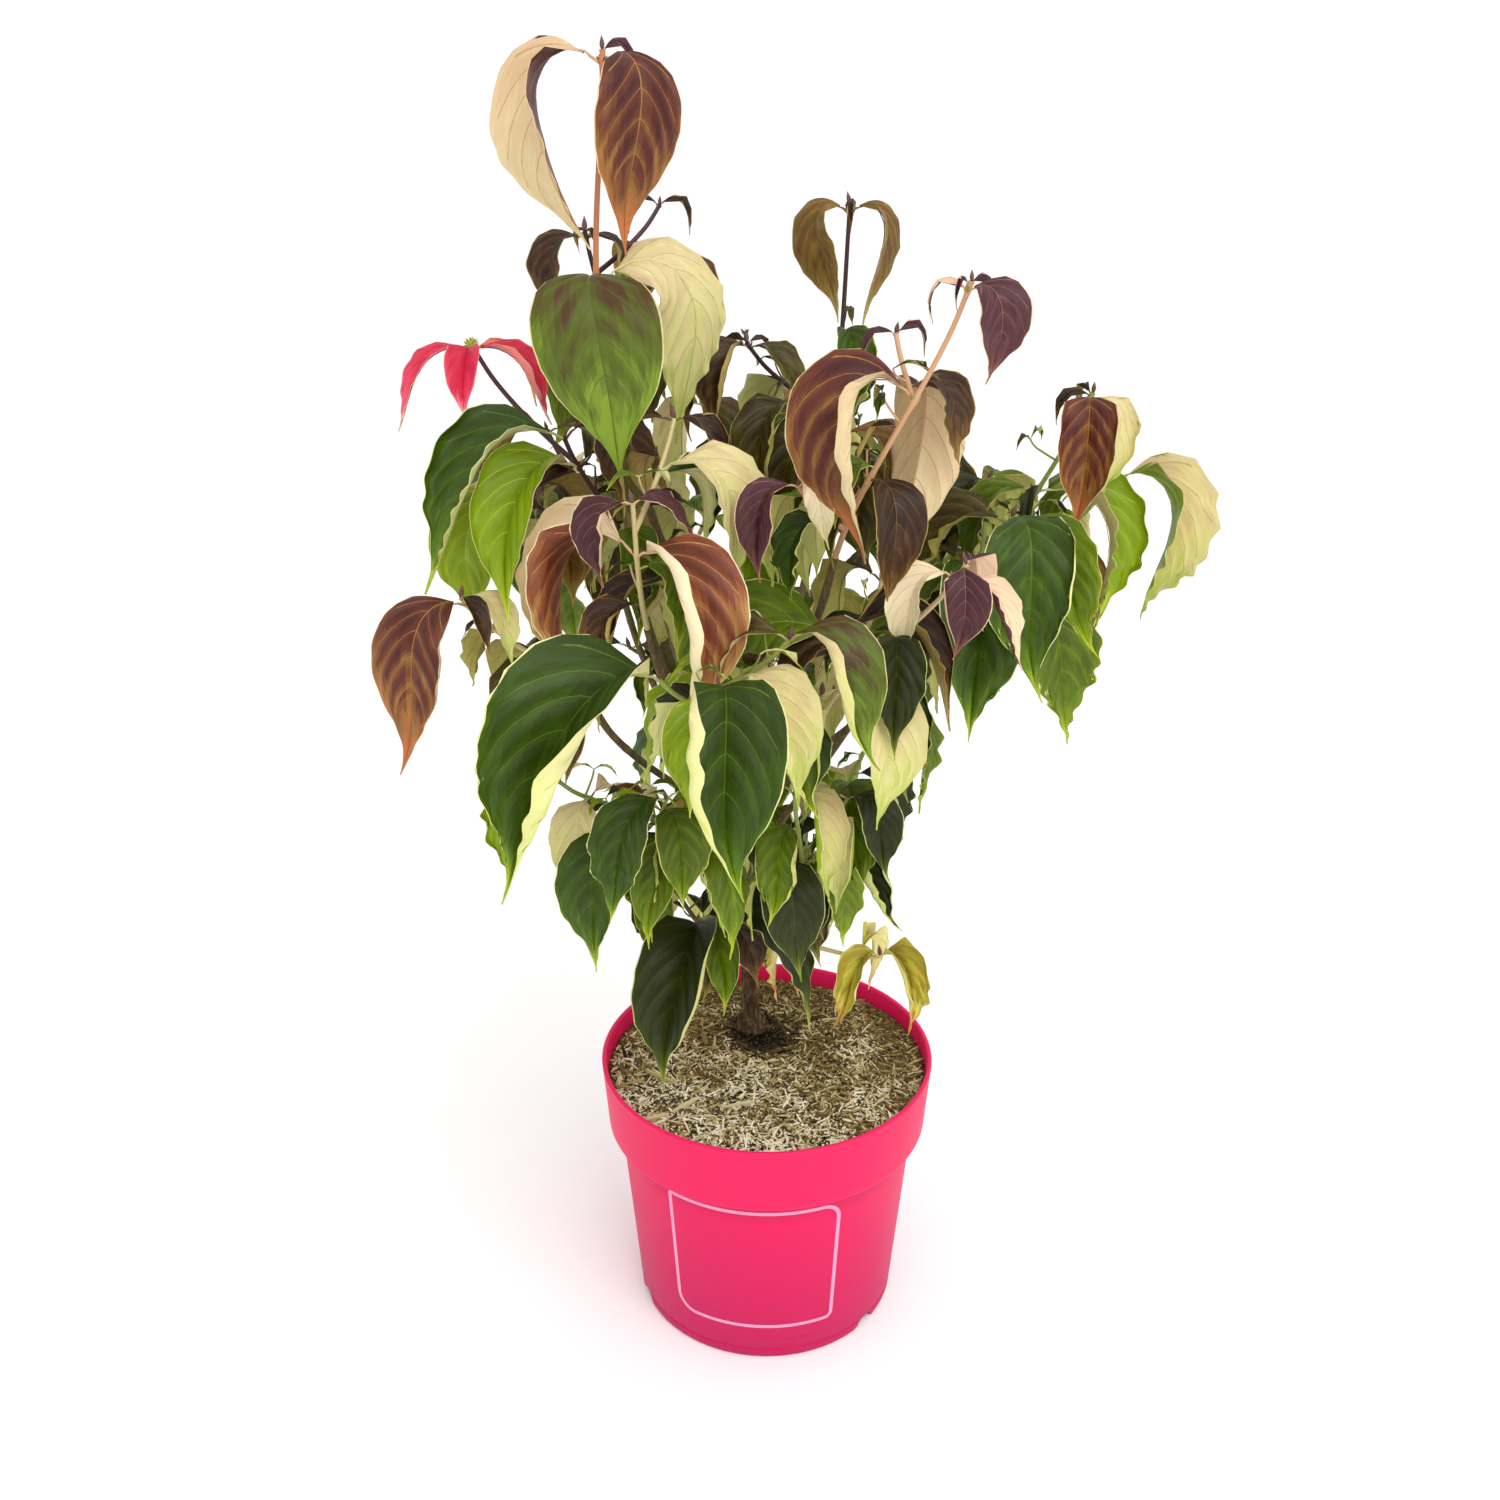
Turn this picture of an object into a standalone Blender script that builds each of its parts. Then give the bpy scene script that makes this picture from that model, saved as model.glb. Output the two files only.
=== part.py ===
"""A kousa dogwood shrub standing in a round nursery pot.

The shrub is one short trunk, boughs that leave it one above the other, and a
mass of foliage on each bough: a stem, its side shoots and opposite pairs of
hanging leaves. The growing tables are in millimetres, the model in metres,
with the pot's axis at x = y = 0, its underside at z = 0 and +Z up.
"""
import math
import random
from dataclasses import dataclass

import bmesh
import bpy
from mathutils import Vector
from mathutils.bvhtree import BVHTree

MM = 0.001
GAP = 0.3
UP = Vector((0.0, 0.0, 1.0))
SEED = 11

# Pot and its filling, mm
RIM_RADIUS = 100.0
POT_HEIGHT = 168.0
BASE_RADIUS = 79.5
COLLAR_HEIGHT = 43.0
COLLAR_FOOT_RADIUS = 96.8
BODY_TOP_RADIUS = 90.0
WALL = 2.0
FLOOR = 2.5
FOOT_ROUNDING = 2.0
POT_STEPS = 32
NOTCH_SIZE = (16.0, 14.0, 12.0)
NOTCH_BEARINGS = (-40.0, 80.0, 200.0)
SOIL_LEVEL = 160.0
SOIL_DROP = 3.0
SOIL_SHOULDER = 66.0
LIP = 1.0
LIP_ROUNDING = 0.4

# Trunk, mm
TRUNK_FOOT = (-10.0, 38.0)
TRUNK_TOP = (-22.0, 20.0, 350.0)
TRUNK_BOW = (2.5, 3.0)
TRUNK_RADIUS = 5.0
TRUNK_TOP_RADIUS = 2.9
FLARE = 4.0
FLARE_HEIGHT = 9.0
UPRIGHT_SHARE = 0.125
TRUNK_RINGS = 11
RING_SPACING = 1.4

# Limbs, stems and shoots: mm, and shares of a limb's reach
LIMB_SIDES = 6
TWIG_SIDES = 3
BOUGH_STEPS = 6
STEM_STEPS = 6
SHOOT_STEPS = 4
HANDLE = 0.3
BOUGH_SPREAD = 0.8
BOUGH_RISE = 0.8
STEM_RISE = 0.5
SHOOT_RISE = 0.6
SHOOT_SPREAD = 0.4
SHOOT_FOOT = 0.12
SHOOT_SEATS = 14
SEAT_STEP = 0.06
SHOOT_CLIMB = 0.55
SHOOT_FREE = 6.0
STEM_RADIUS = 2.0
SHOOT_RADIUS = 1.8
TIP_TAPER = 0.8

# Leaves, mm and degrees
PETIOLE = 0.08
LEAF_ROWS = (0.0, 0.16, 0.34, 0.58, 0.82)
SMALL_ROWS = (0.0, 0.2, 0.46, 0.76)
YOUNG_ROWS = (0.0, 0.3, 0.7)
SMALL_LEAF = 90.0
YOUNG_LEAF = 40.0
ROOT_HALF = 0.6
ROOT_OFFSET = 0.45
TOP_NODE = 0.985
MIDRIB_STEPS = 24
WIDTH_RISE = 0.85
WIDTH_FALL = 1.4
LEAF_THICKNESS = 1.2
THICKNESS_SHARE = 0.011
EDGE_SHARE = 0.4
DROOP_POWER = 1.6
CURL_FROM = 0.7
CURL_POWER = 1.5
LIGHT_BEARING = -90.0
LIGHT_TURN = (0.25, 0.6)
LIGHT_REACH = 125.0
LEAF_TURN = 5.0
LENGTH_RANGE = (0.96, 1.04)
ASPECT_RANGE = (0.4, 0.5)
YOUNG_ASPECT = 0.34
RISE_RANGE = (15.0, 38.0)
YOUNG_RISE = 25.0
HANG_JITTER = 6.0
GIVE_RANGE = (0.25, 0.34)
YOUNG_GIVE = 1.4
CURL_RANGE = (-15.0, 25.0)
SWAY_JITTER = 12.0
LEAN_JITTER = 6.0
ROLL_JITTER = 12.0

# A leaf's further tries, each wider of its first bearing than the last
GUARD = 0.45
LEAF_TRIES = 24
TRY_TURN = 50.0
TRY_RISE = 20.0
TRY_HANG = (-10.0, 40.0)
TRY_SWAY = 25.0
TRY_LEAN = 20.0
TRY_LENGTH = 0.25
TRY_ASPECT = 0.2
RIM_CLEAR = 4.0
STALK_ROWS = 4

# Leaf pairs that fill a shoot below its own, mm
PAIR_STEP = 42.0
FILL_LEAF = 84.0
FILL_FROM = 0.08

# The bloom: bearing and length of each bract, and the head's size, mm
BRACTS = ((206, 64), (266, 52), (346, 62), (36, 56))
BRACT_ASPECT = 0.5
BRACT_RISE = 14.0
BRACT_HANG = -82.0
BRACT_GIVE = 0.42
BRACT_CURL = 14.0
BRACT_DROP = 2.0
HEAD_RADII = (2.4, 4.0, 2.2)
HEAD_HALF = 3.0
HEAD_SIDES = 5

LIMB_COLOUR = (0.22, 0.12, 0.07)
POT_COLOUR = (0.83, 0.03, 0.15)
SOIL_COLOUR = (0.35, 0.28, 0.19)


@dataclass(frozen=True)
class Pair:
    """The leaves at one node: its share of the shoot, their bearings and length.

    lift raises both leaves where they leave the shoot, and spread where they hang.
    give tells how soon they bend down, and share is the far leaf's share of the length.
    A node with no far leaf has None as its bearing.
    """
    at: float
    near: float
    far: float
    length: float
    lean: float = 0.0
    lift: float = 0.0
    spread: float = 0.0
    give: float = 1.0
    share: float = 1.0


@dataclass(frozen=True)
class Shoot:
    """A leafy shoot, told by where its tip stands and the pairs it carries."""
    tip: tuple
    pairs: tuple
    fill: int = 1
    hang: float = -95.0
    flower: bool = False


@dataclass(frozen=True)
class Bough:
    """A limb that leaves the trunk at a height and ends where its mass begins."""
    height: float
    tip: tuple
    radius: float
    shoots: tuple
    colour: tuple


GREEN = (0.08, 0.19, 0.03)
LIME = (0.27, 0.40, 0.07)
BRONZE = (0.19, 0.10, 0.04)
BURGUNDY = (0.12, 0.03, 0.03)
YELLOW = (0.58, 0.48, 0.10)

BOUGHS = {
    "leader": Bough(350, (-79, -48, 596), 2.6, (
        Shoot((-75, -50, 726), (
            Pair(0.95, -38, None, 106, -4, 8, 0, 0.6), Pair(0.95, 180, None, 106, 0, 8, 4, 0.85),
            Pair(0.24, -98, 30, 128, 14, 15), Pair(1, 12, 190, 28, lift=20)), hang=-106),
    ), BURGUNDY),
    "front": Bough(282, (-6, -98, 412), 2.1, (
        Shoot((-52, -134, 462), (Pair(1, 236, 0, 148, -14, 5),), hang=-80),
        Shoot((-24, -148, 464), (Pair(1, -80, 110, 118), Pair(0.65, 252, 60, 66)), hang=-86),
        Shoot((8, -130, 480), (Pair(1, -34, 188, 92, 0, 15), Pair(0.5, -55, 130, 84)), hang=-84),
        Shoot((24, -112, 446), (Pair(1, -28, 150, 90),)),
    ), GREEN),
    "front_left": Bough(318, (-60, -82, 468), 2.1, (
        Shoot((-64, -101, 536), (Pair(0.6, -62, 150, 124), Pair(1, 188, 8, 54))),
        Shoot((-46, -62, 566), (Pair(0.55, -14, 170, 92), Pair(1, -15, 165, 68))),
        Shoot((-32, -40, 512), (Pair(1, -50, 130, 84),)),
    ), BURGUNDY),
    "right": Bough(336, (31, -69, 500), 2.3, (
        Shoot((86, -100, 634), (
            Pair(0.6, 197, None, 114, 0, 18), Pair(0.6, 76, None, 112, 0, 5, 0, 0.7),
            Pair(0.96, -42, 176, 62, 0, 15, 0, 1, 0.55), Pair(1, 15, 195, 32)), hang=-108),
        Shoot((57, -66, 606), (Pair(1, 192, 20, 28),), 0),
        Shoot((12, -90, 541), (Pair(1, 192, -4, 58),), 0),
        Shoot((34, -30, 552), (Pair(1, 210, -20, 84),)),
    ), BURGUNDY),
    "left": Bough(331, (-74, -14, 486), 2.3, (
        Shoot((-101, -40, 552), (
            Pair(1, 200, 20, 122, 0, 0, 18, 0.8), Pair(0.75, 232, 60, 106, 0, 0, 10)), hang=-88),
        Shoot((-124, -28, 520), (Pair(1, 222, 40, 92), Pair(0.7, 165, -60, 60))),
        Shoot((-150, 0, 590), (), 0, flower=True),
        Shoot((-118, 30, 540), (Pair(1, 150, -30, 80),)),
    ), GREEN),
    "far_right": Bough(313, (88, -6, 436), 2.2, (
        Shoot((162, -10, 568), (
            Pair(0.62, -4, 200, 98), Pair(0.96, -98, -8, 90, 0, 15, 0, 0.8, 0.75),
            Pair(1, 100, 196, 30)), hang=-102),
        Shoot((122, -32, 510), (Pair(1, -80, 100, 112), Pair(0.75, -45, 165, 96, 0, 0, 16)), hang=-90),
        Shoot((182, 16, 516), (
            Pair(1, -26, 190, 106, 0, 0, -10, 0.85), Pair(0.7, -60, 110, 90)), hang=-98),
        Shoot((100, -12, 476), (Pair(1, -88, 110, 116, 0, 0, 6),), 0),
        Shoot((126, -4, 452), (Pair(1, -36, 140, 100, 0, 0, 10),)),
        Shoot((120, 40, 510), (Pair(1, 60, 240, 84),)),
    ), LIME),
    "left_low": Bough(303, (-92, -58, 420), 1.9, (
        Shoot((-152, -70, 480), (Pair(0.92, 216, 30, 106, 0, 5, 8, 0.8), Pair(1, 256, -28, 58))),
        Shoot((-104, -80, 432), (Pair(1, 192, 4, 60),)),
    ), BRONZE),
    "right_low": Bough(298, (26, -84, 424), 2.0, (
        Shoot((89, -112, 510), (Pair(0.92, 155, -28, 68), Pair(1, -105, 60, 52))),
        Shoot((34, -94, 468), (Pair(1, -8, 162, 122, 0, 0, 0, 1.3),), hang=-80),
        Shoot((56, -48, 482), (Pair(1, -40, 140, 84),)),
    ), BRONZE),
    "back_left": Bough(341, (-78, 50, 560), 2.1, (
        Shoot((-95, 42, 640), (Pair(0.95, 196, 14, 56), Pair(1, 120, 300, 22))),
        Shoot((-58, 72, 650), (Pair(1, 0, 180, 34), Pair(0.4, 70, 250, 60)), 0),
        Shoot((-52, 60, 624), (Pair(0.95, -48, 150, 54), Pair(1, 260, 80, 24))),
        Shoot((-84, 100, 596), (Pair(1, 100, 280, 84),)),
    ), BRONZE),
    "back_tall": Bough(326, (34, 76, 515), 2.2, (
        Shoot((43, 80, 650), (
            Pair(0.96, 186, -10, 82, 0, 10, 0, 0.7), Pair(1, 90, 270, 26)), 0, hang=-106),
        Shoot((-12, 52, 582), (Pair(0.95, 228, -62, 66), Pair(1, 150, -10, 26))),
        Shoot((16, 44, 548), (Pair(1, 225, 20, 80),)),
        Shoot((76, 92, 506), (Pair(1, -30, 150, 80), Pair(0.7, 70, 250, 84))),
    ), BRONZE),
    "low_left": Bough(268, (-58, -34, 336), 1.9, (
        Shoot((-110, -60, 376), (Pair(1, 202, 20, 80), Pair(0.7, 245, 60, 70))),
        Shoot((-52, -98, 384), (Pair(1, 226, 46, 80), Pair(0.7, -60, 130, 66)), hang=-84),
        Shoot((-70, -70, 350), (Pair(1, 232, 20, 92), Pair(0.65, 270, 90, 68)), hang=-84),
        Shoot((-34, -84, 348), (Pair(1, -104, 70, 90), Pair(0.7, 215, -20, 72)), hang=-88),
    ), LIME),
    "low_right": Bough(254, (14, -34, 298), 1.9, (
        Shoot((12, -100, 388), (Pair(1, -42, 140, 76), Pair(0.7, 230, 40, 70))),
        Shoot((42, -46, 360), (Pair(1, -36, 164, 66), Pair(0.7, -80, 100, 68))),
        Shoot((24, -20, 314), (Pair(1, -24, 164, 74, 0, 0, 26),)),
        Shoot((4, -66, 334), (Pair(1, -80, 88, 80),)),
        Shoot((60, 10, 380), (Pair(1, 10, 190, 80),)),
    ), LIME),
    "foot_left": Bough(244, (-30, -2, 262), 1.6, (
        Shoot((-40, -46, 282), (Pair(1, 258, 30, 122, -16), Pair(0.5, -70, 110, 66)), 0, hang=-86),
        Shoot((-58, -14, 300), (Pair(1, 256, 25, 74), Pair(0.6, 110, 290, 66)), 0),
    ), GREEN),
    "foot_right": Bough(232, (16, 4, 240), 1.5, (
        Shoot((66, -10, 240), (
            Pair(1, 222, -60, 66, 0, 25), Pair(0.75, -80, 60, 62, 0, 25)), 0, hang=-92),
    ), YELLOW),
    "left_back": Bough(287, (-84, 76, 430), 2.1, (
        Shoot((-140, 70, 500), (Pair(1, 170, -10, 88), Pair(0.7, 250, 80, 84))),
        Shoot((-110, 120, 490), (Pair(1, 120, 300, 88), Pair(0.7, 205, 40, 84))),
        Shoot((-80, 60, 500), (Pair(1, 60, 240, 84),)),
    ), GREEN),
    "back_right": Bough(272, (86, 78, 424), 2.2, (
        Shoot((128, 104, 480), (Pair(1, 30, 205, 92), Pair(0.7, -50, 120, 88))),
        Shoot((84, 140, 500), (Pair(1, 80, 262, 92), Pair(0.7, 170, 0, 86))),
        Shoot((150, 60, 456), (Pair(1, 5, 185, 84),)),
    ), GREEN),
    "back_centre": Bough(309, (6, 108, 462), 2.1, (
        Shoot((14, 140, 540), (Pair(1, 100, 280, 84), Pair(0.6, 10, 190, 90))),
        Shoot((-38, 140, 530), (Pair(1, 130, 310, 86),)),
        Shoot((40, 160, 500), (Pair(1, 60, 240, 90),)),
    ), GREEN),
    "back_low": Bough(258, (-18, 108, 358), 2.1, (
        Shoot((-50, 150, 430), (Pair(1, 120, -60, 90), Pair(0.6, 205, 25, 84))),
        Shoot((30, 150, 410), (Pair(1, 50, 230, 88), Pair(0.6, 130, -50, 80))),
        Shoot((-84, 104, 390), (Pair(1, 170, -10, 84),)),
        Shoot((70, 100, 390), (Pair(1, 20, 200, 84),)),
    ), GREEN),
    "foot_back": Bough(239, (0, 66, 282), 1.7, (
        Shoot((16, 104, 340), (Pair(1, 80, 260, 80), Pair(0.5, 0, 180, 70)), 0),
        Shoot((-50, 96, 330), (Pair(1, 150, -40, 78), Pair(0.5, 60, 240, 64)), 0),
    ), GREEN),
}


def compass(bearing):
    """A level unit vector, with 0 at +X and 90 at +Y."""
    angle = math.radians(bearing)
    return Vector((math.cos(angle), math.sin(angle), 0.0))


def bezier(a, b, c, d, steps):
    """Points along a cubic curve from a to d."""
    points = []
    for i in range(steps + 1):
        t = i / steps
        u = 1 - t
        points.append(a * u ** 3 + b * (3 * u * u * t) + c * (3 * u * t * t) + d * t ** 3)
    return points


def along(points, share):
    """The point at a share of a path, by its steps."""
    place = max(0.0, min(share, 1.0)) * (len(points) - 1)
    i = min(int(place), len(points) - 2)
    return points[i].lerp(points[i + 1], place - i)


def outer_split(verts, quad):
    """The two triangles of a quad, parted by the diagonal that stands out."""
    a, b, c, d = (verts[i] for i in quad)
    outward = (c - a).cross(d - b)
    if (a + c - b - d).dot(outward) > 0:
        return (quad[0], quad[1], quad[2]), (quad[0], quad[2], quad[3])
    return (quad[0], quad[1], quad[3]), (quad[1], quad[2], quad[3])


def tube(points, radii, sides, lead=None):
    """Vertices and faces of a closed tube round a path; its first ring is square to lead."""
    verts, faces = [], []
    side = (lead or points[1] - points[0]).orthogonal().normalized()
    for i, point in enumerate(points):
        ahead = points[min(i + 1, len(points) - 1)]
        behind = points[max(i - 1, 0)]
        head = (ahead - behind).normalized()
        if i == 0 and lead:
            head = lead
        side = (side - head * side.dot(head)).normalized()
        other = head.cross(side)
        for k in range(sides):
            angle = 2 * math.pi * k / sides
            verts.append(point + (side * math.cos(angle) + other * math.sin(angle)) * radii[i])
    for i in range(len(points) - 1):
        for k in range(sides):
            a = i * sides + k
            b = i * sides + (k + 1) % sides
            faces.extend(outer_split(verts, (a, b, b + sides, a + sides)))
    last = (len(points) - 1) * sides
    faces.append(tuple(range(sides - 1, -1, -1)))
    faces.append(tuple(range(last, last + sides)))
    return verts, faces


def trunk_axis(share):
    """The trunk's centre line, in mm, from its foot to its top."""
    foot = Vector((*TRUNK_FOOT, SOIL_LEVEL + GAP))
    point = foot.lerp(Vector(TRUNK_TOP), share)
    bow = math.sin(math.pi * share)
    lean = min(1.0, share / UPRIGHT_SHARE)
    point.x = foot.x + (point.x - foot.x + TRUNK_BOW[0] * bow) * lean
    point.y = foot.y + (point.y - foot.y + TRUNK_BOW[1] * bow) * lean
    return point


def trunk_radius(share):
    """The trunk's radius, in mm, with the flare of its roots at the foot."""
    height = share * (TRUNK_TOP[2] - SOIL_LEVEL)
    flare = FLARE * math.exp(-height / FLARE_HEIGHT)
    return TRUNK_RADIUS + (TRUNK_TOP_RADIUS - TRUNK_RADIUS) * share + flare


def trunk_path(extra=0.0):
    """Points and radii of the trunk; extra swells it and runs it on past its top."""
    shares = [(i / (TRUNK_RINGS - 1)) ** RING_SPACING for i in range(TRUNK_RINGS)]
    points = [trunk_axis(share) for share in shares]
    radii = [trunk_radius(share) + extra for share in shares]
    if extra:
        points[-1] = points[-1] + (points[-1] - points[-2]).normalized() * extra
    return points, radii


def limb_curve(start, heading, tip, rise, steps):
    """A limb's points: it leaves along a heading and turns up towards its tip."""
    handle = (tip - start).length * HANDLE
    ending = ((tip - start).normalized() + UP * rise).normalized()
    return bezier(start, start + heading * handle, tip - ending * handle, tip, steps)


def bough_path(bough):
    """Points and radii of a bough, from the trunk's centre to its tip."""
    tip = Vector(bough.tip)
    share = (bough.height - SOIL_LEVEL) / (TRUNK_TOP[2] - SOIL_LEVEL)
    if share >= 1:
        heading = (trunk_axis(1.0) - trunk_axis(0.9)).normalized()
        start = trunk_axis(1.0) + heading * GAP
    else:
        start = trunk_axis(share)
        outward = Vector((tip.x - start.x, tip.y - start.y, 0)).normalized()
        heading = (outward * BOUGH_SPREAD + UP).normalized()
    points = limb_curve(start, heading, tip, BOUGH_RISE, BOUGH_STEPS)
    count = len(points) - 1
    radii = [bough.radius + (STEM_RADIUS - bough.radius) * i / count for i in range(count + 1)]
    return points, radii


def stem_path(bough_points, shoot):
    """A mass's stem, a gap clear of its bough's tip, and its first heading."""
    heading = (bough_points[-1] - bough_points[-2]).normalized()
    start = bough_points[-1] + heading * GAP
    return limb_curve(start, heading, Vector(shoot.tip), STEM_RISE, STEM_STEPS), heading


def shoot_path(stem, shoot):
    """A side shoot: it leaves the stem as high as it can and still rise."""
    tip = Vector(shoot.tip)
    start = along(stem, SHOOT_FOOT)
    for i in range(2, SHOOT_SEATS):
        point = along(stem, i * SEAT_STEP)
        run = Vector((tip.x - point.x, tip.y - point.y)).length
        if tip.z - point.z > SHOOT_CLIMB * run + SHOOT_FREE:
            start = point
    outward = (tip - start).normalized()
    heading = (outward + Vector((outward.x, outward.y, 0)) * SHOOT_SPREAD).normalized()
    return limb_curve(start, heading, tip, SHOOT_RISE, SHOOT_STEPS)


@dataclass
class Leaf:
    """A leaf's place and bearing; lengths in mm, angles in degrees."""
    root: Vector
    bearing: float
    length: float
    aspect: float
    rise: float
    hang: float
    give: float
    curl: float
    sway: float
    lean: float
    roll: float

    def frames(self):
        """Points, headings and sides down the midrib, at even shares."""
        point = self.root.copy()
        frames = []
        for i in range(MIDRIB_STEPS + 1):
            share = i / MIDRIB_STEPS
            droop = math.exp(-((share / self.give) ** DROOP_POWER))
            lift = self.hang + (self.rise - self.hang) * droop
            lift += self.curl * max(0.0, (share - CURL_FROM) / (1 - CURL_FROM)) ** CURL_POWER
            level = compass(self.bearing + self.sway * share)
            angle = math.radians(lift)
            lean = math.radians(self.lean)
            across = Vector((-level.y, level.x, 0.0))
            upright = UP * math.cos(lean) - across * math.sin(lean)
            head = level * math.cos(angle) + upright * math.sin(angle)
            across = (across - head * across.dot(head)).normalized()
            normal = head.cross(across)
            roll = math.radians(self.roll) * min(1.0, 2 * share)
            side = across * math.cos(roll) + normal * math.sin(roll)
            frames.append((point.copy(), side, head.cross(side)))
            point = point + head * (self.length / MIDRIB_STEPS)
        return frames

    def half_width(self, share):
        """Half the blade's width at a share of the leaf, its stalk included."""
        blade = (share - PETIOLE) / (1 - PETIOLE)
        if blade <= 0 or blade >= 1:
            return 0.0
        peak = WIDTH_RISE / (WIDTH_RISE + WIDTH_FALL)
        top = peak ** WIDTH_RISE * (1 - peak) ** WIDTH_FALL
        swell = blade ** WIDTH_RISE * (1 - blade) ** WIDTH_FALL / top
        return 0.5 * self.aspect * self.length * swell

    def rows(self):
        """Shares of the leaf where its solid has a row."""
        if self.length < YOUNG_LEAF:
            return YOUNG_ROWS
        return SMALL_ROWS if self.length < SMALL_LEAF else LEAF_ROWS

    def solid(self, extra=0.0, first=0):
        """Vertices and faces of the leaf as a blade, flat above and ridged below.

        With extra, it is thicker and wider. It starts at its row numbered first.
        """
        shares = self.rows()[first:]
        frames = self.frames()
        thick = max(LEAF_THICKNESS, self.length * THICKNESS_SHARE) + 2 * extra
        verts, faces = [], []
        for share in shares:
            point, side, normal = frames[round(share * MIDRIB_STEPS)]
            half = max(self.half_width(share), ROOT_HALF) + extra
            edge = normal * thick * EDGE_SHARE
            verts.append(point - side * half + edge)
            verts.append(point - normal * thick * (1 - EDGE_SHARE))
            verts.append(point + side * half + edge)
        verts.append(frames[-1][0])
        rows = len(shares)
        for i in range(rows - 1):
            for k in range(3):
                a = i * 3 + k
                b = i * 3 + (k + 1) % 3
                faces.extend(outer_split(verts, (a, b, b + 3, a + 3)))
        last = (rows - 1) * 3
        faces.append((2, 1, 0))
        for k in range(3):
            faces.append((last + k, last + (k + 1) % 3, rows * 3))
        return verts, faces


def light_roll(bearing):
    """The roll, in degrees, that would turn a hanging leaf on the lit side to the light."""
    away = (LIGHT_BEARING - bearing + 180) % 360 - 180
    return -away if abs(away) < LIGHT_REACH else 0.0


class Crown:
    """Grows shoots and leaves, and keeps every piece clear of the others."""

    def __init__(self):
        self.taken = []

    def claim(self, name, solid):
        """Keep a piece's tree and its box, so that later pieces stay clear."""
        verts, faces = solid
        low = [min(v[k] for v in verts) for k in range(3)]
        high = [max(v[k] for v in verts) for k in range(3)]
        self.taken.append((name, BVHTree.FromPolygons(verts, faces), low, high))

    def clear(self, solid, own=()):
        """True when a solid touches no claimed piece, those named in own aside."""
        verts, faces = solid
        low = [min(v[k] for v in verts) for k in range(3)]
        high = [max(v[k] for v in verts) for k in range(3)]
        tree = None
        for name, other, other_low, other_high in self.taken:
            if name in own:
                continue
            if any(low[k] > other_high[k] or high[k] < other_low[k] for k in range(3)):
                continue
            tree = tree or BVHTree.FromPolygons(verts, faces)
            if tree.overlap(other):
                return False
        return True

    def above_pot(self, leaf):
        """True when the leaf stays clear of the pot and what fills it."""
        for point, _, _ in leaf.frames()[STALK_ROWS:]:
            inside = Vector((point.x, point.y)).length < RIM_RADIUS + RIM_CLEAR
            if inside and point.z < POT_HEIGHT + RIM_CLEAR:
                return False
            if point.z < RIM_CLEAR:
                return False
        return True

    def place_leaf(self, mass, seat, root, bearing, pair, hang):
        """Try a leaf, then a few turned and smaller ones, and skip it if none is clear.

        The seat's number seeds the draws, so that each leaf varies by itself.
        """
        rng = random.Random(f"{SEED} {mass} {seat}")
        length = pair.length * (pair.share if bearing == pair.far else 1.0)
        young = length < YOUNG_LEAF
        base = Leaf(
            root, bearing + rng.uniform(-LEAF_TURN, LEAF_TURN),
            length * rng.uniform(*LENGTH_RANGE),
            YOUNG_ASPECT if young else rng.uniform(*ASPECT_RANGE),
            rng.uniform(*RISE_RANGE) + (YOUNG_RISE if young else 0) + pair.lift,
            hang + pair.spread + rng.uniform(-HANG_JITTER, HANG_JITTER),
            rng.uniform(*GIVE_RANGE) * (YOUNG_GIVE if young else 1) * pair.give,
            rng.uniform(*CURL_RANGE), rng.uniform(-SWAY_JITTER, SWAY_JITTER),
            pair.lean + rng.uniform(-LEAN_JITTER, LEAN_JITTER),
            light_roll(bearing) * rng.uniform(*LIGHT_TURN) + rng.uniform(-ROLL_JITTER, ROLL_JITTER))
        for attempt in range(LEAF_TRIES):
            reach = attempt / LEAF_TRIES
            leaf = Leaf(
                root, base.bearing + rng.uniform(-TRY_TURN, TRY_TURN) * reach,
                base.length * (1 - TRY_LENGTH * reach), base.aspect * (1 - TRY_ASPECT * reach),
                base.rise + rng.uniform(-TRY_RISE, TRY_RISE) * reach,
                base.hang + rng.uniform(*TRY_HANG) * reach, base.give, base.curl,
                base.sway + rng.uniform(-TRY_SWAY, TRY_SWAY) * reach,
                base.lean + rng.uniform(-TRY_LEAN, TRY_LEAN) * reach, base.roll)
            if not self.above_pot(leaf) or not self.clear(leaf.solid(GUARD, 1)):
                continue
            if self.clear(leaf.solid(GUARD), (mass,)):
                self.claim(mass, leaf.solid())
                return leaf
        return None


def shoot_radii(points, base):
    """Radii down a shoot, from its base to its fine tip."""
    count = len(points) - 1
    return [base + (SHOOT_RADIUS * TIP_TAPER - base) * i / count for i in range(count + 1)]


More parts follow.
